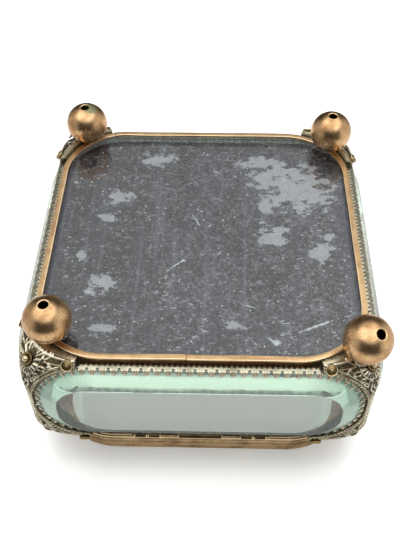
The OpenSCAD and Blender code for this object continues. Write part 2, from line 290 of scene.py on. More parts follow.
# A node group with named sockets, and its two end nodes
def makeGroup(name, inputs, outputs):
    kinds = {"vector": "NodeSocketVector", "colour": "NodeSocketColor",
             "value": "NodeSocketFloat"}
    tree = bpy.data.node_groups.new(name, "ShaderNodeTree")
    for direction, sockets in (("INPUT", inputs), ("OUTPUT", outputs)):
        for label, kind in sockets.items():
            tree.interface.new_socket(name=label, in_out=direction, socket_type=kinds[kind])
    return tree, tree.nodes.new("NodeGroupInput"), tree.nodes.new("NodeGroupOutput")


def newMaterial(name):
    material = bpy.data.materials.new(name)
    material.use_nodes = True
    material.node_tree.nodes.clear()
    return material, material.node_tree


def finishMaterial(tree, shader, volume=None):
    output = add(tree, "OutputMaterial", {"Surface": shader})
    if volume is not None:
        tree.links.new(volume, output.inputs["Volume"])


# Old metal: blotches and grain darken it. Low relief is darkened, partly as dirt and partly as
# painted shade, and high relief takes the worn colour, partly as wear and partly as painted
# highlight. Lines run along the piece's own lengths, and Relief is 0 in a recess and 1 on an edge
def agedMetalGroup():
    tree, given, result = makeGroup(
        "agedMetal",
        {"Base": "colour", "Dark": "colour", "WearAndHighlight": "colour", "Relief": "value",
         "Lines": "value", "Along": "vector", "Tarnish": "value"},
        {"Colour": "colour", "Roughness": "value", "Normal": "vector"})
    where = millimetres(tree)
    blotch = noise(tree, where, 0.16, 4.0, 0.62)
    mottle = noise(tree, where, 1.3, 3.0, 0.7)
    grain = noise(tree, where, 7.0, 2.0, 0.6)
    line = noise(tree, given.outputs["Along"], 1.0, 3.0, 0.6, stretch=(0.05, 4.5, 1.0))
    lineMask = compute(tree, "MULTIPLY", mask(tree, line, 0.35, 0.62), given.outputs["Lines"])
    dirt = compute(tree, "ADD", mask(tree, blotch, 0.40, 0.68),
                   compute(tree, "MULTIPLY", mask(tree, mottle, 0.45, 0.75), 0.5))
    dirt = compute(tree, "MULTIPLY", dirt, given.outputs["Tarnish"], clamp=True)
    colour = mix(tree, dirt, given.outputs["Base"], given.outputs["Dark"])
    colour = mix(tree, compute(tree, "MULTIPLY", lineMask, 0.45), colour, given.outputs["Dark"])
    unevenRelief = uneven(tree, given.outputs["Relief"], mottle, 0.5)
    # Painted shade with the dirt: low relief, set low where shade falls, goes near black
    recess = mask(tree, unevenRelief, 0.12, 0.42, 1.0, 0.0)
    # Painted highlight with the wear: high relief takes the worn colour
    wearAndHighlight = mask(tree, unevenRelief, 0.62, 0.95)
    deep = mix(tree, 0.72, given.outputs["Dark"], (0.012, 0.009, 0.006, 1.0))
    colour = mix(tree, recess, colour, deep)
    colour = mix(tree, wearAndHighlight, colour, given.outputs["WearAndHighlight"])
    rough = compute(tree, "ADD", mask(tree, dirt, 0.0, 1.0, 0.30, 0.52),
                    compute(tree, "MULTIPLY", recess, 0.2))
    height = compute(tree, "ADD", compute(tree, "MULTIPLY", grain, 0.35),
                     compute(tree, "MULTIPLY", lineMask, -0.6))
    height = compute(tree, "ADD", height, compute(tree, "MULTIPLY", mottle, 0.5))
    bump = add(tree, "Bump", {"Strength": 0.5, "Distance": 0.06 * mm, "Height": height})
    for key, socket in {"Colour": colour, "Roughness": rough,
                        "Normal": bump.outputs[0]}.items():
        tree.links.new(socket, result.inputs[key])
    return tree


agedMetal = agedMetalGroup()
# Painted shade: the colour of the dark gap between the body and the lid
gapShadeColour = (38, 30, 20)


# Aged metal in its three sRGB colours. Without its own relief it reads the piece's. Where that is
# below 0 the metal is covered by the matt colours named under. The gap shade is a painted shade
# of the dark gap between the body and the lid: the heights where it starts, is full, ends and is
# gone, and its strength
def metalMaterial(name, base, dark, wearAndHighlight, lines=0.0, tarnish=0.6, relief=None, under=None,
                  gapShade=None):
    material, tree = newMaterial(name)
    relief = relief or attribute(tree, "relief")
    along = add(tree, "UVMap", uv_map="along").outputs[0]
    aged = add(tree, "Group", {
        "Base": linear(*base), "Dark": linear(*dark), "WearAndHighlight": linear(*wearAndHighlight), "Relief": relief,
        "Lines": lines, "Along": along, "Tarnish": tarnish}, node_tree=agedMetal)
    colour, metallic = aged.outputs["Colour"], 1.0
    if under:
        metallic = mask(tree, relief, -0.6, -0.2)
        patchiness = mask(tree, noise(tree, millimetres(tree), 0.4, 4.0, 0.7), 0.40, 0.62)
        matt = mix(tree, patchiness, linear(*under[0]), linear(*under[1]))
        colour = mix(tree, metallic, matt, colour)
    # Painted shade: a band of heights by the gap between the body and the lid goes dark
    if gapShade:
        height = heightOf(tree)
        start, full, end, gone, strength = gapShade
        gapShaded = compute(tree, "MINIMUM", mask(tree, height, start, full, 0.0, strength),
                        mask(tree, height, end, gone, strength, 0.0))
        colour = mix(tree, gapShaded, colour, linear(*gapShadeColour))
    shader = add(tree, "BsdfPrincipled", {
        "Base Color": colour, "Metallic": metallic,
        "Roughness": aged.outputs["Roughness"], "Normal": aged.outputs["Normal"]})
    finishMaterial(tree, shader.outputs[0])
    return material


# The metals: base and dark colours, and a worn colour that is also a painted highlight on high
# relief, in sRGB, and how strong the lines and tarnish are
metals = {
    "frameBrass": {"base": (232, 196, 148), "dark": (158, 118, 78), "wearAndHighlight": (252, 228, 188),
                   "lines": 0.8, "tarnish": 0.5},
    # The lid band and the bezels take the painted shade of the gap between the body and the lid
    "lidBrass": {"base": (228, 190, 142), "dark": (132, 102, 68), "wearAndHighlight": (252, 228, 186),
                 "lines": 1.0, "tarnish": 0.8, "gapShade": (62.0, 62.3, 63.9, 65.2, 0.8)},
    # Painted shade: the top rim is a darker copy of the frame's brass, for the shade under the
    # glass's overhang
    "topBrassShaded": {"base": (140, 112, 76), "dark": (58, 44, 28), "wearAndHighlight": (226, 196, 146),
                 "lines": 0.7, "tarnish": 0.9},
    "hingeBrass": {"base": (196, 170, 122), "dark": (70, 54, 34), "wearAndHighlight": (250, 228, 176),
                   "tarnish": 0.5},
    "pinBrass": {"base": (196, 170, 122), "dark": (70, 54, 34), "wearAndHighlight": (250, 228, 176),
                 "tarnish": 0.6, "relief": 0.45},
    "rosetteBrass": {"base": (178, 154, 108), "dark": (78, 62, 36), "wearAndHighlight": (240, 222, 180),
                     "tarnish": 0.7},
    "filigreeBrass": {"base": (212, 200, 168), "dark": (124, 110, 80), "wearAndHighlight": (255, 252, 238),
                      "tarnish": 0.55},
    "bezelBrass": {"base": (190, 188, 166), "dark": (92, 84, 62), "wearAndHighlight": (250, 222, 188),
                   "tarnish": 0.5, "under": ((124, 150, 126), (172, 196, 172)),
                   "gapShade": (52.0, 56.5, 64.0, 66.0, 0.9)}}
metal = {name: metalMaterial(name, **settings) for name, settings in metals.items()}


# Satin brass ball with fine streaks down its sides and a green patch on one ball
def footMaterial(settings):
    material, tree = newMaterial("footBrass")
    where = millimetres(tree)
    along = add(tree, "UVMap", uv_map="along").outputs[0]
    streak = noise(tree, along, 1.0, 4.0, 0.65, stretch=(2.6, 0.22, 1.0))
    aged = add(tree, "Group", {
        "Base": linear(*settings["base"]), "Dark": linear(*settings["dark"]),
        "WearAndHighlight": linear(*settings["wearAndHighlight"]), "Relief": attribute(tree, "relief"), "Lines": 0.0,
        "Along": along, "Tarnish": settings["tarnish"]}, node_tree=agedMetal)
    colour = mix(tree, mask(tree, streak, 0.42, 0.7, 0.0, 0.5), aged.outputs["Colour"],
                 linear(*settings["streak"]))
    fine = noise(tree, where, 4.5, 2.0, 0.7)
    cloud = noise(tree, where, 0.22, 2.0, 0.5)
    speck = compute(tree, "MULTIPLY", mask(tree, fine, 0.54, 0.66), mask(tree, cloud, 0.44, 0.62))
    colour = mix(tree, compute(tree, "MULTIPLY", speck, 0.75), colour, linear(*settings["speck"]))
    patch = lengthOf(tree, vectors(tree, "SUBTRACT", where, settings["patchMiddle"]))
    edge = uneven(tree, patch, noise(tree, where, 0.9, 4.0, 0.75), 7.0)
    green = mask(tree, edge, 1.9, 3.4, 0.85, 0.0)
    copper = [linear(*shade) for shade in settings["patch"]]
    colour = mix(tree, green, colour, mix(tree, mask(tree, fine, 0.4, 0.6), *copper))
    rough = compute(tree, "MULTIPLY_ADD", aged.outputs["Roughness"], 0.55, 0.08)
    rough = compute(tree, "ADD", rough, mask(tree, streak, 0.4, 0.7, -0.02, 0.07))
    rough = compute(tree, "ADD", rough, compute(tree, "MULTIPLY", green, 0.35))
    shader = add(tree, "BsdfPrincipled", {
        "Base Color": colour, "Metallic": 1.0, "Roughness": rough,
        "Normal": aged.outputs["Normal"]})
    finishMaterial(tree, shader.outputs[0])
    return material


footBrass = footMaterial({
    "base": (230, 190, 142), "dark": (172, 126, 82), "wearAndHighlight": (250, 218, 164), "tarnish": 0.7,
    "streak": (160, 118, 76), "speck": (104, 74, 46), "patch": ((112, 138, 110), (160, 152, 112)),
    "patchMiddle": (-44.6, -50.4, 0.6)})


# Thick old glass: a faint waviness, green through its depth, and open to lamp light. Where the
# outer darkening is given, the bevel is darker at its outer edge, has a pale matt haze that is
# partly painted light for the brightness seen through it, and near its inner edge has a painted
# reflection, a darker green line
def glassMaterial(name, settings):
    material, tree = newMaterial(name)
    wave = noise(tree, millimetres(tree), settings["waveScale"], 1.0)
    bump = add(tree, "Bump", {"Strength": settings["waveStrength"], "Distance": mm,
                              "Height": wave})
    colour, weight = (1.0, 1.0, 1.0, 1.0), 1.0
    if settings["edgeDark"]:
        inward = attribute(tree, "relief")
        onBevel = mask(tree, inward, 0.985, 1.0, 1.0, 0.0)
        patchiness = noise(tree, millimetres(tree), 0.9, 4.0, 0.7, stretch=(0.35, 0.35, 1.0))
        edge = uneven(tree, inward, patchiness, 0.24)
        # Darker at the bevel's outer edge, by the bezel
        edgeDarkened = mask(tree, edge, 0.12, 0.34, settings["edgeDark"], 0.0)
        # Partly painted light: a pale matt haze for the brightness seen through the bevel
        hazeAndLight = attribute(tree, "hazeAndLight")
        hazyAndLit = compute(tree, "MULTIPLY", onBevel, hazeAndLight)
        # Painted reflection: a darker green line near the bevel's inner edge, low on the side
        # panels
        low = mask(tree, heightOf(tree), 24.0, 30.0, settings["innerReflection"], 0.0)
        innerReflected = compute(tree, "MULTIPLY", low, mask(tree, edge, 0.70, 0.86))
        innerReflected = compute(tree, "MULTIPLY", innerReflected, onBevel)
        matt = compute(tree, "MAXIMUM", edgeDarkened, compute(tree, "MAXIMUM", hazyAndLit, innerReflected))
        weight = compute(tree, "SUBTRACT", 1.0, matt)
        tint = mix(tree, mask(tree, hazeAndLight, 0.2, 0.6), linear(*settings["hazeAndLightColour"]),
                   linear(*settings["endLightColour"]))
        colour = mix(tree, onBevel, colour, tint)
        colour = mix(tree, innerReflected, colour, linear(*settings["innerReflectionColour"]))
        colour = mix(tree, edgeDarkened, colour, linear(*settings["edgeDarkColour"]))
    shader = add(tree, "BsdfPrincipled", {
        "Base Color": colour, "Roughness": 0.0, "IOR": 1.5,
        "Transmission Weight": weight, "Normal": bump.outputs[0]})
    clear = add(tree, "BsdfTransparent", {"Color": settings["shadow"]})
    lamp = add(tree, "LightPath").outputs["Is Shadow Ray"]
    both = add(tree, "MixShader", {0: lamp, 1: shader.outputs[0], 2: clear.outputs[0]})
    depth = add(tree, "VolumeAbsorption", {"Color": settings["depthColour"],
                                           "Density": settings["density"]})
    finishMaterial(tree, both.outputs[0], depth.outputs[0])
    return material


# The smudge colour paints a reflected dark line, and the haze and end colours paint the bevel's
# brightness
oldGlass = {"waveScale": 0.12, "waveStrength": 0.06, "shadow": (0.90, 0.94, 0.91, 1.0),
            "depthColour": (0.12, 0.97, 0.30, 1.0), "density": 7.0,
            "edgeDark": 0.6, "edgeDarkColour": (58, 74, 60), "innerReflection": 0.5,
            "innerReflectionColour": (150, 186, 156), "hazeAndLightColour": (249, 255, 251),
            "endLightColour": (212, 252, 228)}
bevelledGlass = glassMaterial("bevelledGlass", oldGlass)
lidGlassMaterial = glassMaterial("lidGlass", {**oldGlass, "waveStrength": 0.015})
baseGlassMaterial = glassMaterial("baseGlass", {
    "waveScale": 0.06, "waveStrength": 0.03, "shadow": (0.90, 0.93, 0.91, 1.0),
    "depthColour": (0.60, 0.97, 0.85, 1.0), "density": 6.0, "edgeDark": 0.0})


# The black sheet's colours in sRGB, its level, where the painted light bands along its sides lie,
# and where the painted band along its front edge starts and is gone; both bands are painted
# reflections of the base glass's edge
lining = {"level": 20.3, "black": ((30, 29, 34), (42, 41, 47)), "streak": (76, 76, 90),
          "dusty": (97, 96, 101), "pit": (10, 10, 12), "shaded": (34, 34, 36),
          "brushed": (96, 96, 104), "peeled": ((142, 143, 148), (154, 155, 160)),
          "fleck": (128, 129, 134), "dash": (176, 178, 182), "scratch": (190, 194, 196),
          "speck": (206, 210, 210), "side": (74, 76, 92), "sideFrom": 50.8, "sideTo": 51.8,
          "front": ((84, 98, 86), (170, 182, 170)), "frontFrom": -52.4, "frontTo": -51.9}
# Where the black has come off, as x, y, half width, half depth and turn
peeledPatches = [
    (35.0, -25.5, 13.0, 12.0), (30.0, -35.5, 12.0, 5.0), (20.0, -40.0, 9.0, 3.5),
    (23.0, -31.0, 6.0, 7.0), (23.0, -15.5, 3.5, 3.5), (-19.0, -42.0, 6.0, 3.5),
    (-32.0, -20.0, 5.5, 3.2), (-37.0, -9.6, 4.6, 2.0, 12.0), (24.5, -1.0, 6.0, 5.0),
    (42.0, 6.5, 4.6, 5.0), (45.0, -1.0, 2.4, 2.2), (-34.5, 21.5, 4.2, 4.2),
    (-43.0, 8.4, 2.4, 2.0), (-32.0, 41.0, 4.0, 1.8), (-38.0, 25.5, 3.0, 2.0),
    (12.0, 39.0, 3.2, 1.4)]
scratches = [
    (37.6, 39.0, 7.2, 0.5, -24.0), (24.8, 45.6, 1.5, 1.3), (23.4, 45.0, 2.6, 0.4, 40.0),
    (-2.8, -8.6, 3.2, 0.28, 62.0), (6.0, 7.4, 2.2, 0.28, -50.0), (-9.6, 13.6, 4.4, 0.32, -44.0),
    (-6.5, 11.2, 0.9, 0.6), (16.0, 31.0, 3.0, 0.26, 20.0)]


# Distance from a middle as a share of a turned ellipse's half width and half depth
def ellipseReach(tree, where, x, y, wide, deep, turn=0.0):
    offset = vectors(tree, "SUBTRACT", where, (x, y, lining["level"]))
    if turn:
        offset = add(tree, "VectorRotate", {"Vector": offset, "Angle": -math.radians(turn)},
                     rotation_type="Z_AXIS").outputs[0]
    return lengthOf(tree, vectors(tree, "MULTIPLY", offset, (1 / wide, 1 / deep, 0.0)))


# Between the two colours of that name
def liningShade(tree, name, factor):
    first, second = lining[name]
    return mix(tree, factor, linear(*first), linear(*second))


# Worn black sheet: mottled grain, soft streaks, peeled patches, flecks and dust, with painted shade
# towards its left side and painted reflections of the base glass's edge along its sides and front
def liningMaterial():
    material, tree = newMaterial("blackLining")
    where = millimetres(tree)
    place = add(tree, "SeparateXYZ", {0: where})
    cloud = noise(tree, where, 0.035, 3.0, 0.6)
    streak = noise(tree, where, 1.0, 4.0, 0.65, stretch=(0.22, 0.025, 1.0))
    brushed = noise(tree, where, 1.0, 3.0, 0.6, stretch=(0.50, 0.022, 1.0))
    grain = noise(tree, where, 0.85, 3.0, 0.85, stretch=(1.1, 0.85, 1.0))
    fleck = noise(tree, where, 0.62, 4.0, 0.72, stretch=(0.85, 1.45, 1.0))
    dash = noise(tree, where, 1.15, 2.0, 0.6, stretch=(0.5, 1.5, 1.0))
    ragged = noise(tree, where, 0.26, 7.0, 0.72, stretch=(0.9, 1.2, 1.0))
    ragged = compute(tree, "MULTIPLY_ADD", ragged, 5.0, -2.5)
    clump = noise(tree, where, 0.22, 5.0, 0.75)
    dusty = uneven(tree, grain, clump, 0.5)
    peeled = None
    for patch in peeledPatches:
        here = mask(tree, compute(tree, "ADD", ragged, ellipseReach(tree, where, *patch)),
                    0.80, 0.88, 1.0, 0.0)
        peeled = here if peeled is None else compute(tree, "MAXIMUM", peeled, here)
    dash = compute(tree, "ADD", dash, mask(tree, place.outputs["Y"], 0.0, 46.0, 0.0, 0.04))
    sparse = compute(tree, "MULTIPLY", mask(tree, dash, 0.64, 0.675), mask(tree, clump, 0.50, 0.58))
    layers = [  # each as its mask and its colour, from the lowest up
        (mask(tree, streak, 0.48, 0.66, 0.0, 0.35), linear(*lining["streak"])),
        (mask(tree, dusty, 0.47, 0.62, 0.0, 0.8), linear(*lining["dusty"])),
        (mask(tree, grain, 0.36, 0.47, 0.8, 0.0), linear(*lining["pit"])),
        # Painted shade: darker towards the left side
        (mask(tree, place.outputs["X"], -50.0, 8.0, 0.50, 0.0), linear(*lining["shaded"])),
        (mask(tree, brushed, 0.54, 0.70, 0.0, 0.55), linear(*lining["brushed"])),
        (compute(tree, "MULTIPLY", peeled, 0.92),
         liningShade(tree, "peeled", mask(tree, grain, 0.35, 0.65))),
        (mask(tree, fleck, 0.60, 0.62, 0.0, 0.9), linear(*lining["fleck"])),
        (sparse, linear(*lining["dash"]))]
    for scratch in scratches:
        reach = compute(tree, "ADD", ellipseReach(tree, where, *scratch),
                        compute(tree, "MULTIPLY_ADD", grain, 4.0, -1.9))
        layers.append((mask(tree, reach, 0.7, 1.0, 0.9, 0.0), linear(*lining["scratch"])))
    dots = add(tree, "TexVoronoi", {"Vector": where, "Scale": 0.42}, feature="F1")
    dust = mask(tree, dots.outputs["Distance"], 0.085, 0.15, 1.0, 0.0)
    few = mask(tree, add(tree, "SeparateColor", {0: dots.outputs["Color"]}).outputs[0], 0.62, 0.66)
    layers.append((compute(tree, "MULTIPLY", dust, few), linear(*lining["speck"])))
    # Painted reflection: a lighter bluish band along the left and right edges, for the base glass's
    # edge
    aside = compute(tree, "ABSOLUTE", place.outputs["X"])
    layers.append((mask(tree, aside, lining["sideFrom"], lining["sideTo"], 0.0, 0.5),
                   linear(*lining["side"])))
    # Painted reflection: a pale green-grey band along the front edge, for the base glass's bright
    # edge
    layers.append((mask(tree, place.outputs["Y"], lining["frontFrom"], lining["frontTo"], 0.9, 0.0),
                   liningShade(tree, "front", mask(tree, grain, 0.40, 0.62))))
    colour = liningShade(tree, "black", mask(tree, cloud, 0.35, 0.68))
    for share, paint in layers:
        colour = mix(tree, share, colour, paint)
    shader = add(tree, "BsdfPrincipled", {"Base Color": colour, "Roughness": 0.7})
    finishMaterial(tree, shader.outputs[0])
    return material


blackLining = liningMaterial()
print("materials made")


# The bevelled glasses: steps round a corner and along a side, and the haze of the bevel, partly
# painted light, which grows on a long plate from endFrom off its middle, over endLong, by the
# ends' extra haze
glass = {"thick": 5.5, "bevel": 7.2, "edge": 1.7, "back": 0.5, "chamfer": 0.15, "corner": 28,
         "side": 6, "hazeAndLight": 0.12, "endHazeAndLight": 0.50, "endFrom": 36.0, "endLong": 14.0}


# Points, faces, caps, relief and haze of a bevelled plate standing on its back. The relief is 0
# at the outer edge of the bevel, where the glass is drawn darker, and 1 elsewhere. The haze of
# the bevel, partly painted light, grows towards the ends of a long plate
def bevelledPlate(size):
    steps = outlineSteps(*size, glass["corner"], glass["side"])
    c, z0 = glass["chamfer"], glass["back"]
    top, slope = z0 + glass["thick"], (glass["thick"] - glass["edge"]) / glass["bevel"]
    edge = z0 + glass["edge"]
    out = np.array([-c, 0, 0, -c, -glass["bevel"] + c, -glass["bevel"] - c])
    up = np.array([z0, z0 + c, edge - c / 2, edge + c * slope, top - c * slope, top])
    points = sweep(steps, size, out, up)
    n, k = points.shape[:2]
    rings = np.arange(n) * k
    caps = [(rings[::-1], (0, 0, z0)), (rings + k - 1, (0, 0, top))]
    relief = np.append(np.tile([1.0, 1.0, 0.3, 0.0, 1.0, 1.0], n), [1.0, 1.0])
    ends = np.clip((np.abs(points[..., 0]) - glass["endFrom"]) / glass["endLong"], 0, 1)
    ends = ends * (size[0] > 2 * size[1])
    hazeAndLight = np.append(glass["hazeAndLight"] + glass["endHazeAndLight"] * ends.ravel(), [glass["hazeAndLight"]] * 2)
    return points, gridFaces(n, k), caps, relief, hazeAndLight


# The haze, partly painted light, that glassMaterial reads at each point
def addHazeAndLight(piece, hazeAndLight):
    piece.data.attributes.new("hazeAndLight", "FLOAT", "POINT").data.foreach_set("value", hazeAndLight)


# The side panels over their bezels, whose wall stands round the glass, and each side's turn
panel = {"width": 109.4, "height": 41.0, "radius": 19.1, "wall": 0.5}
sides = {"front": 0, "right": 90, "back": 180, "left": 270}


# The size of the glass inside a bezel of that width, height and radius
def insideBezel(width, height, radius):
    return width - 2 * panel["wall"], height - 2 * panel["wall"], radius - panel["wall"]


points, faces, caps, relief, hazeAndLight = bevelledPlate(
    insideBezel(panel["width"], panel["height"], panel["radius"]))
for side, turn in sides.items():
    placed = [(ring, onSide(np.array(centre, float), turn)) for ring, centre in caps]
    piece = makePiece(side + "Glass", onSide(points, turn), faces, bevelledGlass, "casket",
                      [side + "_glass"], sharp=12, relief=relief, caps=placed)
    addHazeAndLight(piece, hazeAndLight)

lidPanel = {"width": 108.2, "radius": 23.1}
lift = np.array([0, 0, casket["seat"]])
points, faces, caps, relief, hazeAndLight = bevelledPlate(
    insideBezel(lidPanel["width"], lidPanel["width"], lidPanel["radius"]))
piece = makePiece("lidGlass", points + lift, faces, lidGlassMaterial, "lid", ["lid_glass"],
                  sharp=12, relief=relief,
                  caps=[(ring, centre + lift) for ring, centre in caps])
addHazeAndLight(piece, hazeAndLight)

baseGlass = {"half": 54.1, "radius": 23.1, "bottom": 16.2, "top": 20.2, "chamfer": 0.2,
             "corner": 32}
size = (2 * baseGlass["half"], 2 * baseGlass["half"], baseGlass["radius"])
steps = outlineSteps(*size, baseGlass["corner"])
c, z0, z1 = baseGlass["chamfer"], baseGlass["bottom"], baseGlass["top"]
points = sweep(steps, size, np.array([-c, 0, 0, -c]), np.array([z0, z0 + c, z1 - c, z1]))
rings = np.arange(len(steps)) * 4
makePiece("baseGlass", points, gridFaces(len(steps), 4), baseGlassMaterial, "casket",
          ["base_glass"],
          caps=[(rings[::-1], (0, 0, z0)), (rings + 3, (0, 0, z1))])
dress("base_lining", blackLining)
print("glasses made")


# Bent strip: its steps round a corner and along a side, the width of a seam, and the slow waves
# by which it wavers, each as height, radians per millimetre and start
bentStrip = {"corner": 36, "side": 24, "seam": 0.12,
             "waves": ((0.06, 0.21, 0.0), (0.05, 0.083, 1.0))}


# A closed profile of (out, up, relief) carried round the frame's outline at a level. seams are
# (arc length, step, fade): past the seam the metal stands proud by step, which fades away over a
# few millimetres
def closedSweep(name, profile, level, material, body, node, seams=()):
    out, up, relief = np.array(profile, float).T
    up = up + level
    size = (2 * casket["half"], 2 * casket["half"], casket["radius"])
    length = outlineLength(*size)
    seam = bentStrip["seam"]
    even = outlineSteps(*size, bentStrip["corner"], bentStrip["side"])
    steps = np.unique(np.concatenate([even] + [
        s + seam * np.array([-2.5, -1, 0, 1, 2.5]) for s, step, fade in seams]))
    proud = sum((np.where(steps > s, step * np.exp(-np.clip(steps - s, 0, None) / fade), 0)
                 for s, step, fade in seams), np.zeros(len(steps)))
    wobble = sum(high * np.sin(steps * rate + late) for high, rate, late in bentStrip["waves"])
    points = sweep(steps, size, out, up - proud[:, None] * (up < up.mean())
                   + wobble[:, None] * (relief != 0.5))
    shut = sum((np.exp(-((steps - s) / seam) ** 2) for s, step, fade in seams),
               np.zeros(len(steps)))
    values = relief * (1 - 0.95 * shut[:, None])
    along = np.append(steps, steps[0] + length)
    across = profileLengths(out, up, True)
    makePiece(name, points, gridFaces(len(steps), len(out), True, True), material, body, [node],
              relief=values, uv=gridUv(along, across, True, True))


# The outer wall's relief drops to 0.1, a painted shade on the rim's wall; the top rim turned over
# keeps it
baseRimProfile = [
    (-2.2, 0.3, 0.2), (-2.12, 0.1, 0.75), (-1.95, 0.03, 0.95), (-1.7, 0.0, 0.6),
    (-1.1, 0.0, 0.5), (-0.5, 0.0, 0.55), (-0.22, 0.03, 0.9), (-0.06, 0.14, 0.95),
    (0.0, 0.3, 0.6), (0.0, 0.6, 0.2), (0.0, 1.4, 0.1), (0.0, 2.2, 0.1), (0.0, 3.0, 0.1),
    (0.0, 5.8, 0.2), (-0.15, 6.0, 0.5), (-0.65, 6.0, 0.5), (-0.8, 5.8, 0.5), (-0.8, 1.0, 0.5),
    (-0.9, 0.8, 0.5), (-2.05, 0.8, 0.5), (-2.2, 0.65, 0.6)]
closedSweep("baseRim", baseRimProfile, casket["base"], metal["frameBrass"], "casket", "base_rim",
            seams=[(134.7, 0.25, 9.0), (293.0, 0.2, 6.0)])
# The top rim is the same strip turned over, and the edge of its wall reaches 0.5 further
topRimProfile = [(o, -u - (0.5 if u > 5.9 else 0.0), r) for o, u, r in baseRimProfile[::-1]]
closedSweep("topRim", topRimProfile, casket["top"], metal["topBrassShaded"], "casket", "top_rim")
lidProfile = [
    (-0.85, 0.0, 0.6), (-0.7, 0.15, 0.8), (-0.7, 1.6, 0.3), (-0.5, 1.7, 0.6), (-0.37, 1.9, 0.9),
    (-0.35, 2.3, 0.95), (-0.42, 2.7, 0.6), (-0.5, 2.95, 0.1), (-0.3, 3.05, 0.3), (-0.08, 3.15, 0.9),
    (0.0, 3.4, 0.95), (0.0, 3.9, 0.6), (-0.04, 4.2, 0.5), (-0.22, 4.4, 0.1), (-0.05, 4.6, 0.5),
    (0.0, 4.9, 0.75), (0.0, 6.1, 0.6), (-0.05, 6.6, 0.45), (-0.2, 6.8, 0.12), (-0.05, 7.0, 0.5),
    (0.0, 7.3, 0.7), (0.0, 9.6, 0.55), (-0.04, 9.9, 0.4), (-0.16, 10.05, 0.12),
    (-0.04, 10.2, 0.5), (0.0, 10.4, 0.85), (-0.1, 10.8, 0.95), (-0.3, 10.9, 0.9),
    (-0.65, 10.9, 0.8), (-0.8, 10.75, 0.6), (-0.8, 9.0, 0.3), (-0.95, 8.9, 0.4),
    (-5.2, 8.9, 0.5), (-5.3, 8.8, 0.6), (-5.3, 8.2, 0.6), (-5.2, 8.1, 0.5), (-1.0, 8.1, 0.4),
    (-0.8, 7.9, 0.4), (-0.8, 4.0, 0.4), (-0.95, 3.8, 0.4), (-1.4, 3.8, 0.4), (-1.5, 3.65, 0.4),
    (-1.5, 0.15, 0.5), (-1.35, 0.0, 0.5)]
closedSweep("lidFrame", lidProfile, casket["lid"], metal["lidBrass"], "lid", "lid_frame")
print("rims made")


# The toothed bezels: distance between teeth and steps in each, the sheet, how far the flange
# goes behind the frame, the unparted length at the root, half a tooth's width as a share of the
# pitch, how high its pattern is pressed and how far the sheet is sunk. The pattern is a vein down
# the middle, of that half width and from that distance down, and bumps, each as its place across
# in pitches, half width, distance down and half length: two lobes, a tip and a bead between teeth.
# The path down the bevel is given as inset and height
bezel = {"pitch": 3.4, "steps": 20, "sheet": 0.3, "flange": 1.7, "root": 0.34, "half": 0.43,
         "press": 0.34, "sink": 0.14, "vein": 0.05, "veinFrom": 0.7,
         "bumps": [(0.25, 0.10, 1.15, 0.50), (0.0, 0.15, 2.5, 0.45), (0.5, 0.09, 0.18, 0.16)],
         "path": [(0.0, 1.35), (0.22, 2.05), (0.55, 2.68), (2.35, 3.22)]}


# A strip bent round a glass, with leaf-shaped teeth pressed down over its bevel. Across, the
# strip runs in from the flange, up the wall, and over the edge of the glass down its bevel. A
# tooth ends where the distance from its middle, to a power, has used up its length, so the teeth
# are parted by deep notches; lobes, beads and veins are pressed in them
def toothedBezel(size):
    length = outlineLength(*size)
    teeth = round(length / bezel["pitch"])
    count = teeth * bezel["steps"]
    steps = length * np.arange(count) / count
    phase = ((steps / length * teeth) % 1 - 0.5)[:, None]
    path = np.array(bezel["path"])
    far = profileLengths(path[:, 0], path[:, 1], False)
    lean = np.clip(np.abs(phase) / bezel["half"], 0, 1)
    end = bezel["root"] + (far[-1] - bezel["root"]) * (1 - lean ** 2.1) ** 0.9
    end = np.where(np.abs(phase) > bezel["half"], bezel["root"] - 0.02, end)
    share = np.concatenate([[0, 0.06], np.linspace(0.16, 1, 13)])
    t = end * share
    inset, over = np.interp(t, far, path[:, 0]), np.interp(t, far, path[:, 1])
    edge = end - t
    boss = 0.8 * (np.exp(-(phase / bezel["vein"]) ** 2) * (t > bezel["veinFrom"]))
    for across, wide, down, long in bezel["bumps"]:
        boss = boss + np.exp(-((np.abs(phase) - across) / wide) ** 2 - ((t - down) / long) ** 2)
    boss = np.clip(boss, 0, 1) * np.clip(edge / 0.12, 0, 1)
    over = over + bezel["press"] * boss - bezel["sink"]
    ones = np.ones((count, 1))
    wallOut, wallUp = [-bezel["flange"], -bezel["flange"], -0.12, 0.0], [0.35, 0.0, 0.0, 0.12]
    grain = 0.05 * np.sin(4 * math.pi * phase)
    ridgeOut, ridgeUp = np.hstack([0 * grain, grain, 0 * grain]), np.array([0.7, 0.9, 1.1])
    under = share[::-1][[0, 2, 5, 8, 11]]
    underIn = np.interp(end * under, far, path[:, 0])
    underUp = np.interp(end * under, far, path[:, 1]) - 0.1 - bezel["sheet"]
    backOut = [-bezel["sheet"] - 0.06] * 2
    backUp = [0.95, 0.35]
    out = np.hstack([wallOut * ones, ridgeOut, -inset, -underIn, backOut * ones])
    up = np.hstack([wallUp * ones, ridgeUp * ones, over, underUp, backUp * ones])
    # Painted shadow: the relief falls to near 0 along each tooth's edge, a dark rim for its shadow
    edgeShade = 0.06 + 0.94 * np.clip(edge / 0.2, 0, 1)
    # Painted shade and highlight: the wall is darker by the flange, and its ribs are drawn lighter
    # and darker in turn
    relief = np.hstack([[0.2, 0.3, 0.5, 0.55] + grain * [0, 0, 4, 8],
                        [0.5, 0.55, 0.35] + grain * [9, 8, 5],
                        (0.34 + 0.66 * boss) * edgeShade, -np.ones_like(underIn),
                        [-1.0, -1.0] * ones])
    points = sweep(steps, size, out, up)
    return points, gridFaces(count, out.shape[1], True, True), relief


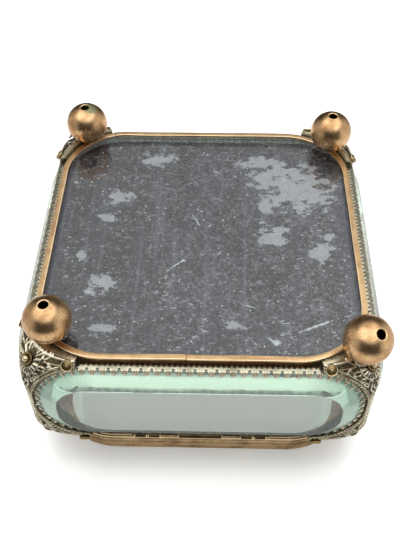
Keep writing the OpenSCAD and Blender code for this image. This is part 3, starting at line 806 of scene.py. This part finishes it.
points, faces, relief = toothedBezel((panel["width"], panel["height"], panel["radius"]))
for side, turn in sides.items():
    makePiece(side + "Bezel", onSide(points, turn), faces, metal["bezelBrass"], "casket",
              [side + "_bezel"], sharp=50, relief=relief)
points, faces, relief = toothedBezel((lidPanel["width"], lidPanel["width"], lidPanel["radius"]))
makePiece("lidBezel", points + lift, faces, metal["bezelBrass"], "lid", ["lid_bezel"],
          sharp=50, relief=relief)
print("bezels made")


# The drilled balls: radius, radii of the lower and upper hole, how far above the middle the top
# is cut flat, and how the hole's mouth is rounded; then each one's place, turn and lean
foot = {"radius": 7.8, "hole": 1.55, "upperHole": 1.1, "flat": 7.2, "round": 0.35, "rows": 60,
        "steps": 96}
feet = {"front_left": (-46.9, -50.7, 0, 0), "front_right": (48.5, -47.1, 0, 0),
        "back_left": (-47.6, 45.8, 0, 0), "back_right": (51.56, 51.56, 45, 30)}


# Distances from the axis and heights of a drilled ball, from the peg hole's mouth round. The
# mouth of the lower hole is a small quarter round, and the rest is a circle
def ballProfile():
    r, hole, soft = foot["radius"], foot["hole"], foot["round"]
    start = math.asin((hole + soft) / r)
    end = math.pi - math.acos(foot["flat"] / r)
    angle = np.linspace(start, end, foot["rows"])
    mouth = math.sqrt(r * r - (hole + soft) ** 2)
    bend = np.linspace(0, 1, 6)[:-1] * math.pi / 2
    radius = np.concatenate([[foot["upperHole"], foot["upperHole"], hole, hole],
                             hole + soft * (1 - np.cos(bend)), r * np.sin(angle)])
    height = np.concatenate([[foot["flat"], 0.0, 0.0, -mouth + soft + 1.0],
                             -mouth + soft * (1 - np.sin(bend)), -r * np.cos(angle)])
    relief = np.concatenate([[0.0, 0.0, 0.0, 0.05], [0.2, 0.6, 0.95, 1.0, 0.95],
                             0.5 + 0.35 * np.exp(-np.arange(foot["rows"]) / 1.5)])
    return radius, height, relief


radius, height, relief = ballProfile()
ball = revolve(radius, height, foot["steps"])
ballFaces = gridFaces(foot["steps"], len(radius), True, True)
ballUv = gridUv(np.arange(foot["steps"] + 1) / foot["steps"] * 2 * math.pi * foot["radius"],
                profileLengths(radius, height, True), True, True)
for corner, (x, y, turn, lean) in feet.items():
    tilt = np.array(Matrix.Rotation(math.radians(turn), 3, "Z")
                    @ Matrix.Rotation(math.radians(-lean), 3, "Y"))
    placed = ball @ tilt.T + [x, y, foot["radius"]]
    placed[..., 2] = np.minimum(placed[..., 2], foot["radius"] + foot["flat"])
    makePiece(cornerName(corner, "Foot"), placed, ballFaces, footBrass, "casket",
              [corner + "_foot"], sharp=60, uv=ballUv,
              relief=np.broadcast_to(relief, ball.shape[:2]))
dress("foot_pegs", metal["pinBrass"])
print("feet made")


# The rolled tubes: the axis, the tube's radius and its hole, then the softened end, the raised
# ring that follows it and the recess between the rings; places are x and length, and the solder
# foot of each reaches from inner to the axis between low and high
hinge = {"y": 55.95, "z": 62.45, "radius": 0.9, "hole": 0.55, "steps": 32, "soft": 0.08,
         "chamfer": 0.1, "ring": 0.35, "neck": 0.5, "recess": 0.12}
bodyKnuckles = {"places": [(-16.4, 4.6), (0.0, 16.0), (16.4, 4.6)], "inner": 55.0,
                "low": 60.35, "high": 62.15}
lidKnuckles = {"places": [(-21.3, 4.6), (21.3, 4.6)], "inner": 54.3,
               "low": 62.75, "high": 63.65}


# Rolled tubes with raised ends, each on its solder foot, as points, faces and relief. The relief
# is painted shade and highlight: it runs round the tube as a sine squared, so that the outside
# stays dark, and it is 1 at both ends
def rolledKnuckles(settings):
    parts = []
    outer, steps = hinge["radius"], hinge["steps"]
    waist = outer - hinge["recess"]
    inset = np.array([0, 0, hinge["soft"], hinge["ring"], hinge["neck"]])
    radius = [hinge["hole"], outer - hinge["chamfer"], outer, outer, waist]
    radius = np.array(radius + [waist] + radius[::-1])
    around = np.arange(steps) / steps * 2 * math.pi
    for x, long in settings["places"]:
        half = long / 2
        height = np.concatenate([inset - half, [0.0], (half - inset)[::-1]])
        tube = revolve(radius, height, steps)
        # Painted shade and highlight round the tube
        tubeShading = 0.05 + 0.9 * np.sin(around + 0.6)[:, None] ** 2 + 0 * radius
        tubeShading = np.maximum(tubeShading, (np.abs(height) > half - 0.4) * (radius > 0.7))
        parts.append((tube[..., [2, 0, 1]] + [x, hinge["y"], hinge["z"]],
                      gridFaces(steps, len(radius), True, True), tubeShading.ravel()))
        box = np.array([(a, b, c) for a in (x - half, x + half)
                        for b in (settings["inner"], hinge["y"])
                        for c in (settings["low"], settings["high"])])
        quads = np.array([(0, 1, 3, 2), (4, 6, 7, 5), (0, 4, 5, 1), (2, 3, 7, 6), (0, 2, 6, 4),
                          (1, 5, 7, 3)])
        parts.append((box, quads, np.full(8, 0.3)))
    return bundle(parts)


for name, settings, body, node, slot in (
        ("bodyKnuckles", bodyKnuckles, "casket", "body_knuckles", "hinge_brass"),
        ("lidKnuckles", lidKnuckles, "lid", "lid_knuckles", "hinge_brass")):
    points, faces, relief = rolledKnuckles(settings)
    makePiece(name, points, faces, metal["hingeBrass"], body, [node], sharp=60, relief=relief)
dress("hinge_pin", metal["pinBrass"])
print("hinge made")


# The corner mounts. The sheet swings out by out within swell of either end, and its corner
# tightens to bend within bendHeight. It starts just inside the rims, stands off the frame's side
# by sideGap, reaches armEnd from the middle of a side, and keeps gap off the bezel, which begins
# at the height foot. Then the mesh's cell and columns, the thickness of the sheet, the height of
# its wires, and the thickness and steps of the flanges
mount = {"out": 2.2, "bend": 4.0, "swell": 4.0, "bendHeight": 12.0, "start": 0.25, "gap": 0.3,
         "sideGap": 0.1, "armEnd": 38.5, "foot": 2.5, "cell": 0.20, "columns": 70,
         "sheet": 0.26, "wire": 0.42, "flange": 0.2, "flangeSteps": 81}
# The rosettes: height above the mount's end, how far the middle stands off the sheet, steps
# round, waves, and a profile of radius, height, relief, and how deep the waves go in height and
# relief
rosette = {"at": 2.6, "lift": 0.8, "steps": 80, "waves": 20, "profile": [
    (2.1, 0.0, 0.0, 0, 0), (2.2, 0.05, 0.05, 0, 0), (2.2, 0.22, 0.1, 0.02, 0.1),
    (2.12, 0.34, 0.3, 0.08, 0.4), (1.9, 0.4, 0.3, 0.09, 0.55), (1.6, 0.4, 0.25, 0.08, 0.5),
    (1.35, 0.36, 0.1, 0.05, 0.2), (1.15, 0.3, 0.0, 0, 0), (1.08, 0.42, 0.1, 0, 0),
    (1.1, 0.75, 0.5, 0, 0), (1.0, 1.1, 0.8, 0, 0), (0.8, 1.35, 1.0, 0, 0),
    (0.5, 1.53, 1.0, 0, 0), (0.2, 1.6, 1.0, 0, 0)]}
# The cups at the ends of the arms: distance along the side, radius, how far they stand off, and
# their height as a share of the radius
cup = {"x": 41.0, "radius": 1.9, "lift": 0.6, "up": 0.7, "steps": 72, "waves": 18, "profile": [
    (1.85, 0.0, 0.2, 0, 0), (1.9, 0.05, 0.3, 0, 0), (1.9, 0.7, 0.5, 0.02, 0.2),
    (1.86, 0.9, 0.9, 0.05, 0.3), (1.74, 1.0, 1.0, 0.05, 0.3), (1.6, 0.92, 0.9, 0.04, 0.3),
    (1.5, 0.7, 0.3, 0, 0.1), (1.42, 0.5, 0.2, 0, 0), (1.25, 0.54, 0.45, 0, 0),
    (1.0, 0.66, 0.6, 0, 0), (0.7, 0.76, 0.6, 0, 0), (0.42, 0.8, 0.6, 0, 0),
    (0.36, 0.9, 0.7, 0, 0), (0.25, 0.98, 0.8, 0, 0), (0.1, 1.02, 0.8, 0, 0)]}
# The daisy of wires round a rosette, and the rope along the mount's edge
daisy = {"petals": 20, "inner": 2.1, "outer": 4.05, "scallop": 0.30}
rope = {"inset": 0.36, "half": 0.34, "lay": 1.3}


# How far a quarter ellipse of height reach has swung out, from the nearer end
def swing(h, reach):
    n = np.minimum(h, casket["height"] - h)
    return np.where(n < reach, np.sqrt(np.clip(1 - (1 - n / reach) ** 2, 0, 1)), 1.0)


# Half width, corner radius and distance round from the diagonal to the end, at heights h. The
# first two swing out and in by quarter ellipses. The end is armEnd from the middle of the side, or
# further where that comes within gap of the bezel's round end
def mountSection(h):
    half = casket["half"] + mount["sideGap"] + mount["out"] * swing(h, mount["swell"])
    bend = casket["radius"] - (casket["radius"] - mount["bend"]) * swing(h, mount["bendHeight"])
    n = np.minimum(h - mount["foot"], panel["height"] - (h - mount["foot"]))
    endX, r = panel["width"] / 2 - panel["radius"], panel["radius"]
    curve = endX + np.sqrt(np.clip((r + mount["gap"]) ** 2 - (r - n) ** 2, 0, None))
    edge = np.where(n <= -mount["gap"], mount["armEnd"],
                    np.where(n < r, np.maximum(mount["armEnd"], curve), endX + r + mount["gap"]))
    centre = half - bend
    bent = math.pi / 4 - np.arcsin(np.clip((edge - centre) / bend, 0, 0.999))
    return half, bend, bend * bent + np.maximum(centre - edge, 0)


# Points of the corner at +X +Y, p millimetres round from its diagonal, at height h: on the arc of
# the corner's radius and then straight on along the side. lift moves them off the sheet along the
# normal of the ellipse it swings by
def mountPlace(p, h, lift):
    half, bend = mountSection(h)[:2]
    angle = math.pi / 4 + np.minimum(np.abs(p) / bend, math.pi / 4)
    straight = np.maximum(np.abs(p) - bend * math.pi / 4, 0)
    out = swing(h, mount["swell"])
    up = np.where(h < casket["height"] / 2, -1, 1) * np.sqrt(1 - out * out)
    far = bend + lift * out
    x = half - bend + far * np.cos(angle) - straight
    y = half - bend + far * np.sin(angle)
    z = casket["base"] + h + lift * up
    return np.stack([np.where(p > 0, x, y), np.where(p > 0, y, x), z], -1)


# Distance of points from a polyline, and how far along it the nearest place is
def lineDistance(points, path):
    a, step = path[:-1], np.diff(path, axis=0)
    long = np.linalg.norm(step, axis=1)
    starts = np.concatenate([[0], np.cumsum(long)[:-1]])
    share = np.clip(((points[:, None] - a) * step).sum(-1) / long ** 2, 0, 1)
    gap = np.linalg.norm(points[:, None] - a - share[..., None] * step, axis=-1)
    nearest = gap.argmin(1)
    rows = np.arange(len(points))
    return gap[rows, nearest], (starts + share * long)[rows, nearest]


# Height of a round wire of that half width, as the root of one less the squared share of it
def ridge(gap, half):
    return np.sqrt(np.clip(1 - (gap / half) ** 2, 0, 1))


# Half the mount's width at distances q from its nearer end, read from its rim
def rimHalf(q):
    return np.interp(q, mountRim[:, 1], mountRim[:, 0])


# Heights at even distances up the mount's bowed side, and their distance from an end
def pathHeights():
    fine = np.linspace(mount["start"], casket["height"] - mount["start"], 4001)
    half = mountSection(fine)[0]
    length = np.concatenate([[0], np.cumsum(np.hypot(np.diff(fine), np.diff(half)))])
    rows = int(round(length[-1] / mount["cell"]))
    even = np.linspace(0, length[-1], rows + 1)
    return np.interp(even, length, fine), np.minimum(even, length[-1] - even), fine, length


heights, rowQ, fineHeight, fineLength = pathHeights()
halfHeights = heights[: len(heights) // 2 + 1]
mountRim = np.stack([mountSection(halfHeights)[2], rowQ[: len(halfHeights)]], -1)
rosetteQ = float(np.interp(rosette["at"], fineHeight, fineLength))


# A closed leaf that points away from the rosette, for the list of wires
def petal(angle, start, end, half):
    a = math.radians(angle)
    along, across = np.array([math.cos(a), math.sin(a)]), np.array([-math.sin(a), math.cos(a)])
    shares = [0, 0.12, 0.35, 0.65, 0.88, 1]
    swell = [0, 0.55, 1.0, 0.85, 0.4, 0]
    sides = [[(0, rosetteQ) + along * (start + (end - start) * t) + sign * half * w * across
              for t, w in zip(shares, swell)] for sign in (1, -1)]
    return [tuple(point) for point in sides[0] + sides[1][-2::-1]]


# Wires and openings of the stamped pattern, as |p| and the distance q from the nearer end
wires = [(petal(angle, 4.3, end, 0.62), 0.13) for angle, end in
         [(-24, 6.6), (6, 7.1), (38, 6.9), (68, 7.0)]] + [
    ([(6.7, 1.7), (7.6, 2.0), (8.6, 2.6), (9.8, 3.1), (10.8, 3.1)], 0.15),
    ([(6.5, 4.6), (7.4, 4.1), (8.4, 3.0), (9.5, 2.3), (10.5, 2.0)], 0.15),
    ([(7.2, 3.1), (8.1, 2.85)], 0.13),
    ([(7.0, 1.5), (7.0, 4.9)], 0.12),
    ([(3.7, 6.6), (4.6, 7.3), (5.1, 8.4), (4.6, 9.6), (3.4, 10.8)], 0.16),
    ([(1.6, 8.0), (2.2, 9.0), (3.1, 9.5), (4.0, 9.1), (4.2, 8.2), (3.4, 7.7), (2.8, 8.3)], 0.16),
    ([(0.0, 8.3), (0.75, 9.4), (0.95, 10.6), (0.0, 12.0)], 0.16),
    ([(1.5, 9.2), (1.8, 10.6), (1.5, 12.2), (0.9, 13.2)], 0.16),
    ([(0.0, 12.0), (0.9, 13.3), (0.0, 14.8)], 0.17),
    ([(0.0, 14.8), (0.9, 16.2), (0.0, 17.6), (0.75, 19.0), (0.0, 20.4), (0.7, 21.8), (0.0, 23.2),
      (0.5, 24.4)], 0.17),
    ([(1.1, 14.6), (0.3, 16.2), (0.85, 17.6), (0.2, 19.0), (0.7, 20.4), (0.2, 21.8), (0.6, 23.2),
      (0.1, 24.4)], 0.13),
]
openings = [
    [(7.2, 2.25), (8.1, 2.6), (7.3, 2.9)], [(7.3, 3.3), (8.1, 2.98), (7.35, 3.75)],
    [(0.0, 9.2), (0.45, 9.8), (0.5, 10.6), (0.0, 11.2)],
    [(2.2, 10.3), (3.1, 10.2), (2.6, 11.2), (2.1, 11.8)],
]


# Distance outside a polygon in millimetres, below zero inside it
def polygonGap(points, corners):
    path = np.array(corners + corners[:1])
    gap = lineDistance(points, path)[0]
    x, y = points.T
    inside = np.zeros(len(points), bool)
    for (x0, y0), (x1, y1) in zip(path[:-1], path[1:]):
        crosses = (y0 > y) != (y1 > y)
        if y1 != y0:
            inside ^= crosses & (x < (x1 - x0) * (y - y0) / (y1 - y0) + x0)
    return np.where(inside, -gap, gap)


# Least distance from any opening; the corners of the openings are rounded
def openingGap(points):
    return np.minimum.reduce([polygonGap(points, corners) for corners in openings]) - 0.08


# Height of the stamped pattern from 0, the sheet, to 1, the top of a wire. A daisy of wires
# stands round the rosette, ribbons and a rope follow the edges, and the rest is the list of
# wires; each wire is half a circle across
def mountRelief(points):
    p, q = points.T
    edge, along = lineDistance(points, mountRim)
    away = np.hypot(p, q - rosetteQ)
    angle = np.arctan2(q - rosetteQ, p)
    petals = daisy["petals"]
    spoke = np.abs((angle * petals / (2 * math.pi)) % 1 - 0.5) * 2 * math.pi / petals * away
    spoke = 2 * math.pi / petals * away / 2 - spoke
    scallop = daisy["outer"] + daisy["scallop"] * np.cos(angle * petals / 2) ** 2
    inside = (away > daisy["inner"]) & (away < scallop)
    flower = np.where(inside, ridge(spoke, 0.13 + 0.02 * away), 0)
    flower = np.maximum(flower, 0.85 * ridge(away - scallop, 0.15))
    beyond = away > scallop + 0.1
    height = ridge(edge - rope["inset"], rope["half"])
    height = height * (0.62 + 0.38 * np.sin(2 * math.pi * along / rope["lay"]))
    height = np.maximum(height, 0.75 * ridge(edge - 0.92, 0.13) * beyond)
    broad = np.clip((np.abs(rimHalf(q)) - 2.2) / 1.5, 0, 1)
    height = np.maximum(height, 0.8 * ridge(edge - 2.05, 0.15) * beyond * (broad > 0.3))
    height = np.maximum(height, 0.8 * ridge(q - 1.55, 0.14) * beyond * (p > 5) * (edge > 0.9))
    height = np.maximum(height, 0.9 * ridge(q - 0.3, 0.28))
    for path, half in wires:
        gap = lineDistance(points, np.array(path))[0]
        height = np.maximum(height, ridge(gap, half) * beyond)
    return np.maximum(height, flower)


# A pierced and stamped sheet as points, faces and relief, for the corner at +X +Y. A grid runs
# from end to end and from edge to edge. Points near an opening's edge are moved onto it down the
# slope of the distance, quads with a corner inside are left out, and walls join the outer and the
# inner skin along every free edge
def mountSheet():
    columns = mount["columns"]
    share = np.arange(-columns, columns + 1) / columns
    p = mountSection(heights)[2][:, None] * share[None, :]
    q = np.broadcast_to(rowQ[:, None], p.shape)
    flat = np.stack([np.abs(p).ravel(), q.ravel()], -1)
    gap, small = openingGap(flat), 0.01
    slope = np.stack([(openingGap(flat + [small, 0]) - gap) / small,
                      (openingGap(flat + [0, small]) - gap) / small], -1)
    near = np.abs(gap) < mount["cell"] * 0.55
    move = np.where(near[:, None], -gap[:, None] * slope, 0)
    keep = np.where(near, 0, gap) >= 0
    height = mountRelief(flat + move)
    lower = (heights < casket["height"] / 2)[:, None]
    rise = np.interp(np.clip(rowQ[:, None] + move[:, 1].reshape(p.shape), 0, None), fineLength,
                     fineHeight)
    h = np.where(lower, rise, casket["height"] - rise)
    pMoved = p + move[:, 0].reshape(p.shape) * np.sign(p)
    lift = mount["sheet"] + mount["wire"] * height.reshape(p.shape)
    outer = mountPlace(pMoved, h, lift).reshape(-1, 3)
    inner = mountPlace(pMoved, h, 0 * lift).reshape(-1, 3)
    rows, wide = p.shape
    quads = gridFaces(rows, wide, False, False)[:, ::-1]
    quads = quads[keep[quads].all(1)]
    a = quads.ravel()
    b = np.roll(quads, -1, axis=1).ravel()
    count = len(outer)
    lone = ~np.isin(a * count + b, b * count + a)
    walls = np.stack([b[lone], a[lone], a[lone] + count, b[lone] + count], -1)
    faces = np.vstack([quads, quads[:, ::-1] + count, walls])
    # Partly wear and patina, partly painted highlight and shade: wire tops take the worn colour and
    # the sheet between them goes dark
    relief = np.concatenate([0.15 + 0.85 * height ** 1.8, np.full(count, 0.4)])
    used, numbers = np.unique(faces, return_inverse=True)
    return np.vstack([outer, inner])[used], numbers.reshape(faces.shape), relief[used]


# The strip turned in from an end row of the sheet to the frame, as points, faces and relief
def mountFlange(row, wall):
    across = np.linspace(-1, 1, mount["flangeSteps"])
    h = np.full(len(across), heights[row])
    edge = mountPlace(mountSection(h)[2] * across, h, mount["sheet"])
    centre = casket["half"] - casket["radius"]
    over = np.clip(edge[:, :2] - centre, 0, None)
    inner = np.minimum(edge[:, :2], centre) + casket["radius"] * over / np.maximum(
        np.linalg.norm(over, axis=1), 1e-9)[:, None]
    inward = np.array([0, 0.2, 0.5, 1.0])[None, :, None]
    flat = edge[:, None, :2] * (1 - inward) + inner[:, None] * inward
    level = np.broadcast_to(edge[:, None, 2:], flat.shape[:2] + (1,))
    top = np.concatenate([flat, level], -1)
    strip = np.concatenate([top, top[:, ::-1] + [0, 0, wall]], 1)
    rows, wide = strip.shape[:2]
    ends = np.array([[0, 1, 6, 7], [1, 2, 5, 6], [2, 3, 4, 5]])
    quads = np.vstack([gridFaces(rows, wide, False, True), ends[:, ::-1],
                       ends + (rows - 1) * wide])
    relief = np.tile([0.85, 0.4, 0.25, 0.1] + [0.05] * 4, rows)
    return strip, quads if wall > 0 else quads[:, ::-1], relief


points, faces, relief = bundle(
    [mountSheet(), mountFlange(0, mount["flange"]), mountFlange(-1, -mount["flange"])])
corners = {"back_right": 0, "back_left": 90, "front_left": 180, "front_right": 270}
for corner, turn in corners.items():
    makePiece(cornerName(corner, "Mount"), turned(points, turn), faces, metal["filigreeBrass"],
              "casket", [corner + "_mount"], sharp=60, relief=relief)
print("mounts made")


# A turned profile that waves round in height and relief, by a cosine of the angle round
def wavyTurning(settings):
    radius, height, relief, depth, shade = np.array(settings["profile"], float).T
    steps = settings["steps"]
    points = revolve(radius, height, steps)
    wave = np.cos(settings["waves"] * 2 * math.pi * np.arange(steps) / steps)[:, None]
    points[..., 2] += depth * wave
    return points, gridFaces(steps, len(radius), True, False), relief + shade * wave


# One piece of many copies of a turned shape, set on the mounts facing outwards
def scattered(name, shape, places, material, node):
    turning, quads, relief = shape
    rows, wide = turning.shape[:2]
    parts = []
    for place, normal, turn in places:
        parts.append((turned(facing(turning, place, normal), turn), quads, relief.ravel()))
    points, faces, reliefs = bundle(parts)
    caps = []
    for number in range(len(places)):
        start = number * rows * wide
        rings = start + np.arange(rows) * wide
        caps += [(rings[::-1], points[rings].mean(0)),
                 (rings + wide - 1, points[rings + wide - 1].mean(0))]
    reliefs = np.concatenate([reliefs, np.full(2 * len(places), relief[0, -1])])
    makePiece(name, points, faces, material, "casket", [node], sharp=60, relief=reliefs,
              caps=caps)


rosettePlaces, cupPlaces = [], []
for turn in (0, 90, 180, 270):
    for h in (rosette["at"], casket["height"] - rosette["at"]):
        below, at, above = (mountPlace(np.array([0.0]), np.array([v]), np.array([0.0]))[0]
                            for v in (h - 0.1, h, h + 0.1))
        run = np.hypot(*above[:2]) - np.hypot(*below[:2])
        normal = np.array([0.2 / math.sqrt(2), 0.2 / math.sqrt(2), -run])
        normal /= np.linalg.norm(normal)
        rosettePlaces.append((at + rosette["lift"] * normal, normal, turn))
    for x in (-cup["x"], cup["x"]):
        for h in (cup["radius"] * cup["up"], casket["height"] - cup["radius"] * cup["up"]):
            out = float(swing(np.array(h), mount["swell"]))
            up = (-1 if h < casket["height"] / 2 else 1) * math.sqrt(1 - out * out)
            half = float(mountSection(np.array([h]))[0][0])
            place = (x, half + cup["lift"] * out, casket["base"] + h + cup["lift"] * up)
            cupPlaces.append((place, (0, out, up), turn))
scattered("rosettes", wavyTurning(rosette), rosettePlaces, metal["rosetteBrass"], "rosettes")
scattered("armCups", wavyTurning(cup), cupPlaces, metal["rosetteBrass"], "arm_cups")
print("rosettes and cups made")


# The surfaces the casket stands on, right way up or turned over: their reach and colour, and how
# far out from the corner arcs' middles the glow changes under the casket and beyond it. The glow
# is lowest just round the casket, a painted shadow, and on the table it rises again under the
# casket, painted light
stage = {"reach": 400.0, "colour": (0.80, 0.80, 0.79, 1.0), "near": (2.0, 20.0),
         "far": (20.5, 38.0), "fadeTo": 380.0}


# A pale surface seen from its front only, fading to white outwards. Lamp light and bounced light
# pass through it, so that each view keeps its own surface
def stageMaterial(name, settings):
    material, tree = newMaterial(name)
    rays = add(tree, "LightPath")
    seen = compute(tree, "LESS_THAN", rays.outputs["Diffuse Depth"], 0.5)
    matt = add(tree, "BsdfDiffuse", {"Color": stage["colour"]})
    where = vectors(tree, "MULTIPLY", millimetres(tree), (1.0, 1.0, 0.0))
    centre = casket["half"] - casket["radius"]
    place = vectors(tree, "SUBTRACT", vectors(tree, "ABSOLUTE", where), (centre, centre, 0.0))
    away = lengthOf(tree, vectors(tree, "MAXIMUM", place))
    # Painted shadow and light: the glow dips round the casket and rises under it and far out
    level = compute(tree, "MAXIMUM",
                    mask(tree, away, *stage["far"], settings["glow"], settings["farGlow"]),
                    mask(tree, away, *stage["near"], settings["innerGlow"], settings["glow"]))
    bounced = compute(tree, "SUBTRACT", rays.outputs["Is Glossy Ray"],
                      rays.outputs["Is Transmission Ray"], clamp=True)
    level = compute(tree, "MULTIPLY", level,
                    compute(tree, "MULTIPLY_ADD", bounced, -settings["dimmed"], 1.0))
    glow = add(tree, "Emission", {"Color": (1.0, 1.0, 1.0, 1.0),
               "Strength": compute(tree, "MULTIPLY", seen, level)})
    lit = add(tree, "AddShader", {0: matt.outputs[0], 1: glow.outputs[0]})
    clear = add(tree, "BsdfTransparent")
    gone = mask(tree, lengthOf(tree, where), settings["fadeFrom"], stage["fadeTo"])
    edgeOn = add(tree, "LayerWeight", {"Blend": 0.5}).outputs["Facing"]
    gone = compute(tree, "MAXIMUM", gone, mask(tree, edgeOn, settings["edgeFrom"],
                                               settings["edgeTo"]))
    gone = compute(tree, "MAXIMUM", gone, rays.outputs["Is Shadow Ray"])
    gone = compute(tree, "MAXIMUM", gone, compute(tree, "SUBTRACT", 1.0, seen))
    if not settings["mirrored"]:
        gone = compute(tree, "MAXIMUM", gone, rays.outputs["Is Glossy Ray"])
    gone = compute(tree, "MAXIMUM", gone, add(tree, "NewGeometry").outputs["Backfacing"])
    shown = add(tree, "MixShader", {0: gone, 1: lit.outputs[0], 2: clear.outputs[0]})
    finishMaterial(tree, shown.outputs[0])
    material.cycles.emission_sampling = "NONE"
    return material


# A square sheet at a height, facing up or down, that isn't a part of the object
def stagePlane(name, height, up, material):
    reach = stage["reach"]
    corners = [(-reach, -reach), (reach, -reach), (reach, reach), (-reach, reach)]
    mesh = bpy.data.meshes.new(name)
    mesh.from_pydata([(x * mm, y * mm, height * mm) for x, y in corners], [],
                     [(0, 1, 2, 3) if up else (3, 2, 1, 0)])
    mesh.materials.append(material)
    plane = bpy.data.objects.new(name, mesh)
    scene.collection.objects.link(plane)


stagePlane("floor", -0.02, True, stageMaterial("floorPale", {
    "glow": 0.22, "innerGlow": 0.22, "farGlow": 0.50, "fadeFrom": 180.0, "edgeFrom": 0.985,
    "edgeTo": 0.999, "mirrored": False, "dimmed": 0.0}))
stagePlane("table", 77.56, False, stageMaterial("tablePale", {
    "glow": 0.17, "innerGlow": 0.25, "farGlow": 0.55, "fadeFrom": 160.0, "edgeFrom": 0.80,
    "edgeTo": 0.90, "mirrored": True, "dimmed": 0.75}))


# White to the eye and through glass, and to a mirror dark round the horizon ahead
def makeWorld(settings):
    world = bpy.data.worlds.new("studio")
    scene.world = world
    world.use_nodes = True
    world.cycles.sampling_method = "NONE"
    tree = world.node_tree
    tree.nodes.clear()
    rays = add(tree, "LightPath")
    white = compute(tree, "MAXIMUM", rays.outputs["Is Camera Ray"],
                    rays.outputs["Is Transmission Ray"])
    unscattered = compute(tree, "LESS_THAN", rays.outputs["Diffuse Depth"], 0.5)
    white = compute(tree, "MULTIPLY", white, unscattered)
    direction = add(tree, "SeparateXYZ", {0: add(tree, "TexCoord").outputs["Generated"]})
    upright = compute(tree, "ABSOLUTE", direction.outputs["Z"])
    sideways = compute(tree, "ABSOLUTE", direction.outputs["X"])
    mirrored = compute(tree, "MAXIMUM",
                       mask(tree, upright, 0.50, 0.85, settings["horizon"], settings["top"]),
                       mask(tree, sideways, 0.50, 0.95, 0.0, settings["side"]))
    right = mask(tree, direction.outputs["X"], 0.02, 0.30, 1.0, settings["right"])
    mirrored = compute(tree, "MULTIPLY", mirrored, right)
    both = add(tree, "CombineXYZ", {0: direction.outputs["X"], 1: direction.outputs["Y"],
                                    2: upright}).outputs[0]
    toKey = add(tree, "VectorMath", {0: both, 1: settings["key"]}, operation="DOT_PRODUCT")
    mirrored = compute(tree, "ADD", mirrored,
                       mask(tree, toKey.outputs["Value"], 0.82, 0.99, 0.0, settings["keyLevel"]))
    level = mix(tree, rays.outputs["Is Glossy Ray"], (settings["level"],) * 3 + (1.0,), mirrored)
    colour = mix(tree, white, level, (1.0, 1.0, 1.0, 1.0))
    back = add(tree, "Background", {"Color": colour, "Strength": 1.0})
    add(tree, "OutputWorld", {"Surface": back.outputs[0]})


# How bright the world is to matt surfaces, and to a mirror at the horizon, overhead, at the sides,
# how many times as bright on the right, and round the direction key
makeWorld({"level": 0.56, "horizon": 0.05, "top": 1.32, "side": 0.60, "right": 1.5,
           "key": (-0.546, 0.035, 0.837), "keyLevel": 0.9})


lamps = {"lampBelow": {"place": (20, -190, -700), "size": 640, "power": 4.8},
         "lampAbove": {"place": (-240, -260, 740), "size": 560, "power": 4.0}}


# A square lamp aimed at the middle of the casket; mirrors see the world instead
def areaLamp(name, settings):
    data = bpy.data.lights.new(name, "AREA")
    data.size, data.energy = settings["size"] * mm, settings["power"]
    lamp = bpy.data.objects.new(name, data)
    lamp.location = Vector(settings["place"]) * mm
    aim = Vector((0, 0, 38.0)) * mm - lamp.location
    lamp.rotation_mode = "QUATERNION"
    lamp.rotation_quaternion = aim.to_track_quat("-Z", "Y")
    lamp.visible_glossy = lamp.visible_transmission = lamp.visible_camera = False
    scene.collection.objects.link(lamp)


for name, settings in lamps.items():
    areaLamp(name, settings)

# Place in millimetres, angles in degrees, and a lens for a sensor 36 across its longer side
camera = {"place": (5.63, 186.81, -182.07), "yaw": -1.562, "pitch": 49.744, "roll": -0.348,
          "lens": 49.985}


# The view from below the feet: the casket is turned over, so -Z points up in it. The angles are
# worked out with Y and Z turned round, and the axes are turned back
def makeCamera():
    yaw, pitch, roll = (math.radians(camera[key]) for key in ("yaw", "pitch", "roll"))
    ahead = np.array([math.sin(yaw) * math.cos(pitch), math.cos(yaw) * math.cos(pitch),
                      -math.sin(pitch)])
    right = np.array([math.cos(yaw), -math.sin(yaw), 0.0])
    upward = np.cross(right, ahead)
    leanRight = math.cos(roll) * right + math.sin(roll) * upward
    leanUp = -math.sin(roll) * right + math.cos(roll) * upward
    axes = np.stack([leanRight, leanUp, -ahead], 1) * np.array([[1], [-1], [-1]])
    data = bpy.data.cameras.new("camera")
    data.lens, data.sensor_width, data.sensor_fit = camera["lens"], 36.0, "AUTO"
    data.clip_start, data.clip_end = 0.01, 10.0
    seenFrom = bpy.data.objects.new("camera", data)
    turn = Matrix([[float(v) for v in row] for row in axes]).to_4x4()
    seenFrom.matrix_world = Matrix.Translation(Vector(camera["place"]) * mm) @ turn
    scene.collection.objects.link(seenFrom)
    scene.camera = seenFrom


makeCamera()
print("stage made")

bpy.context.view_layer.update()
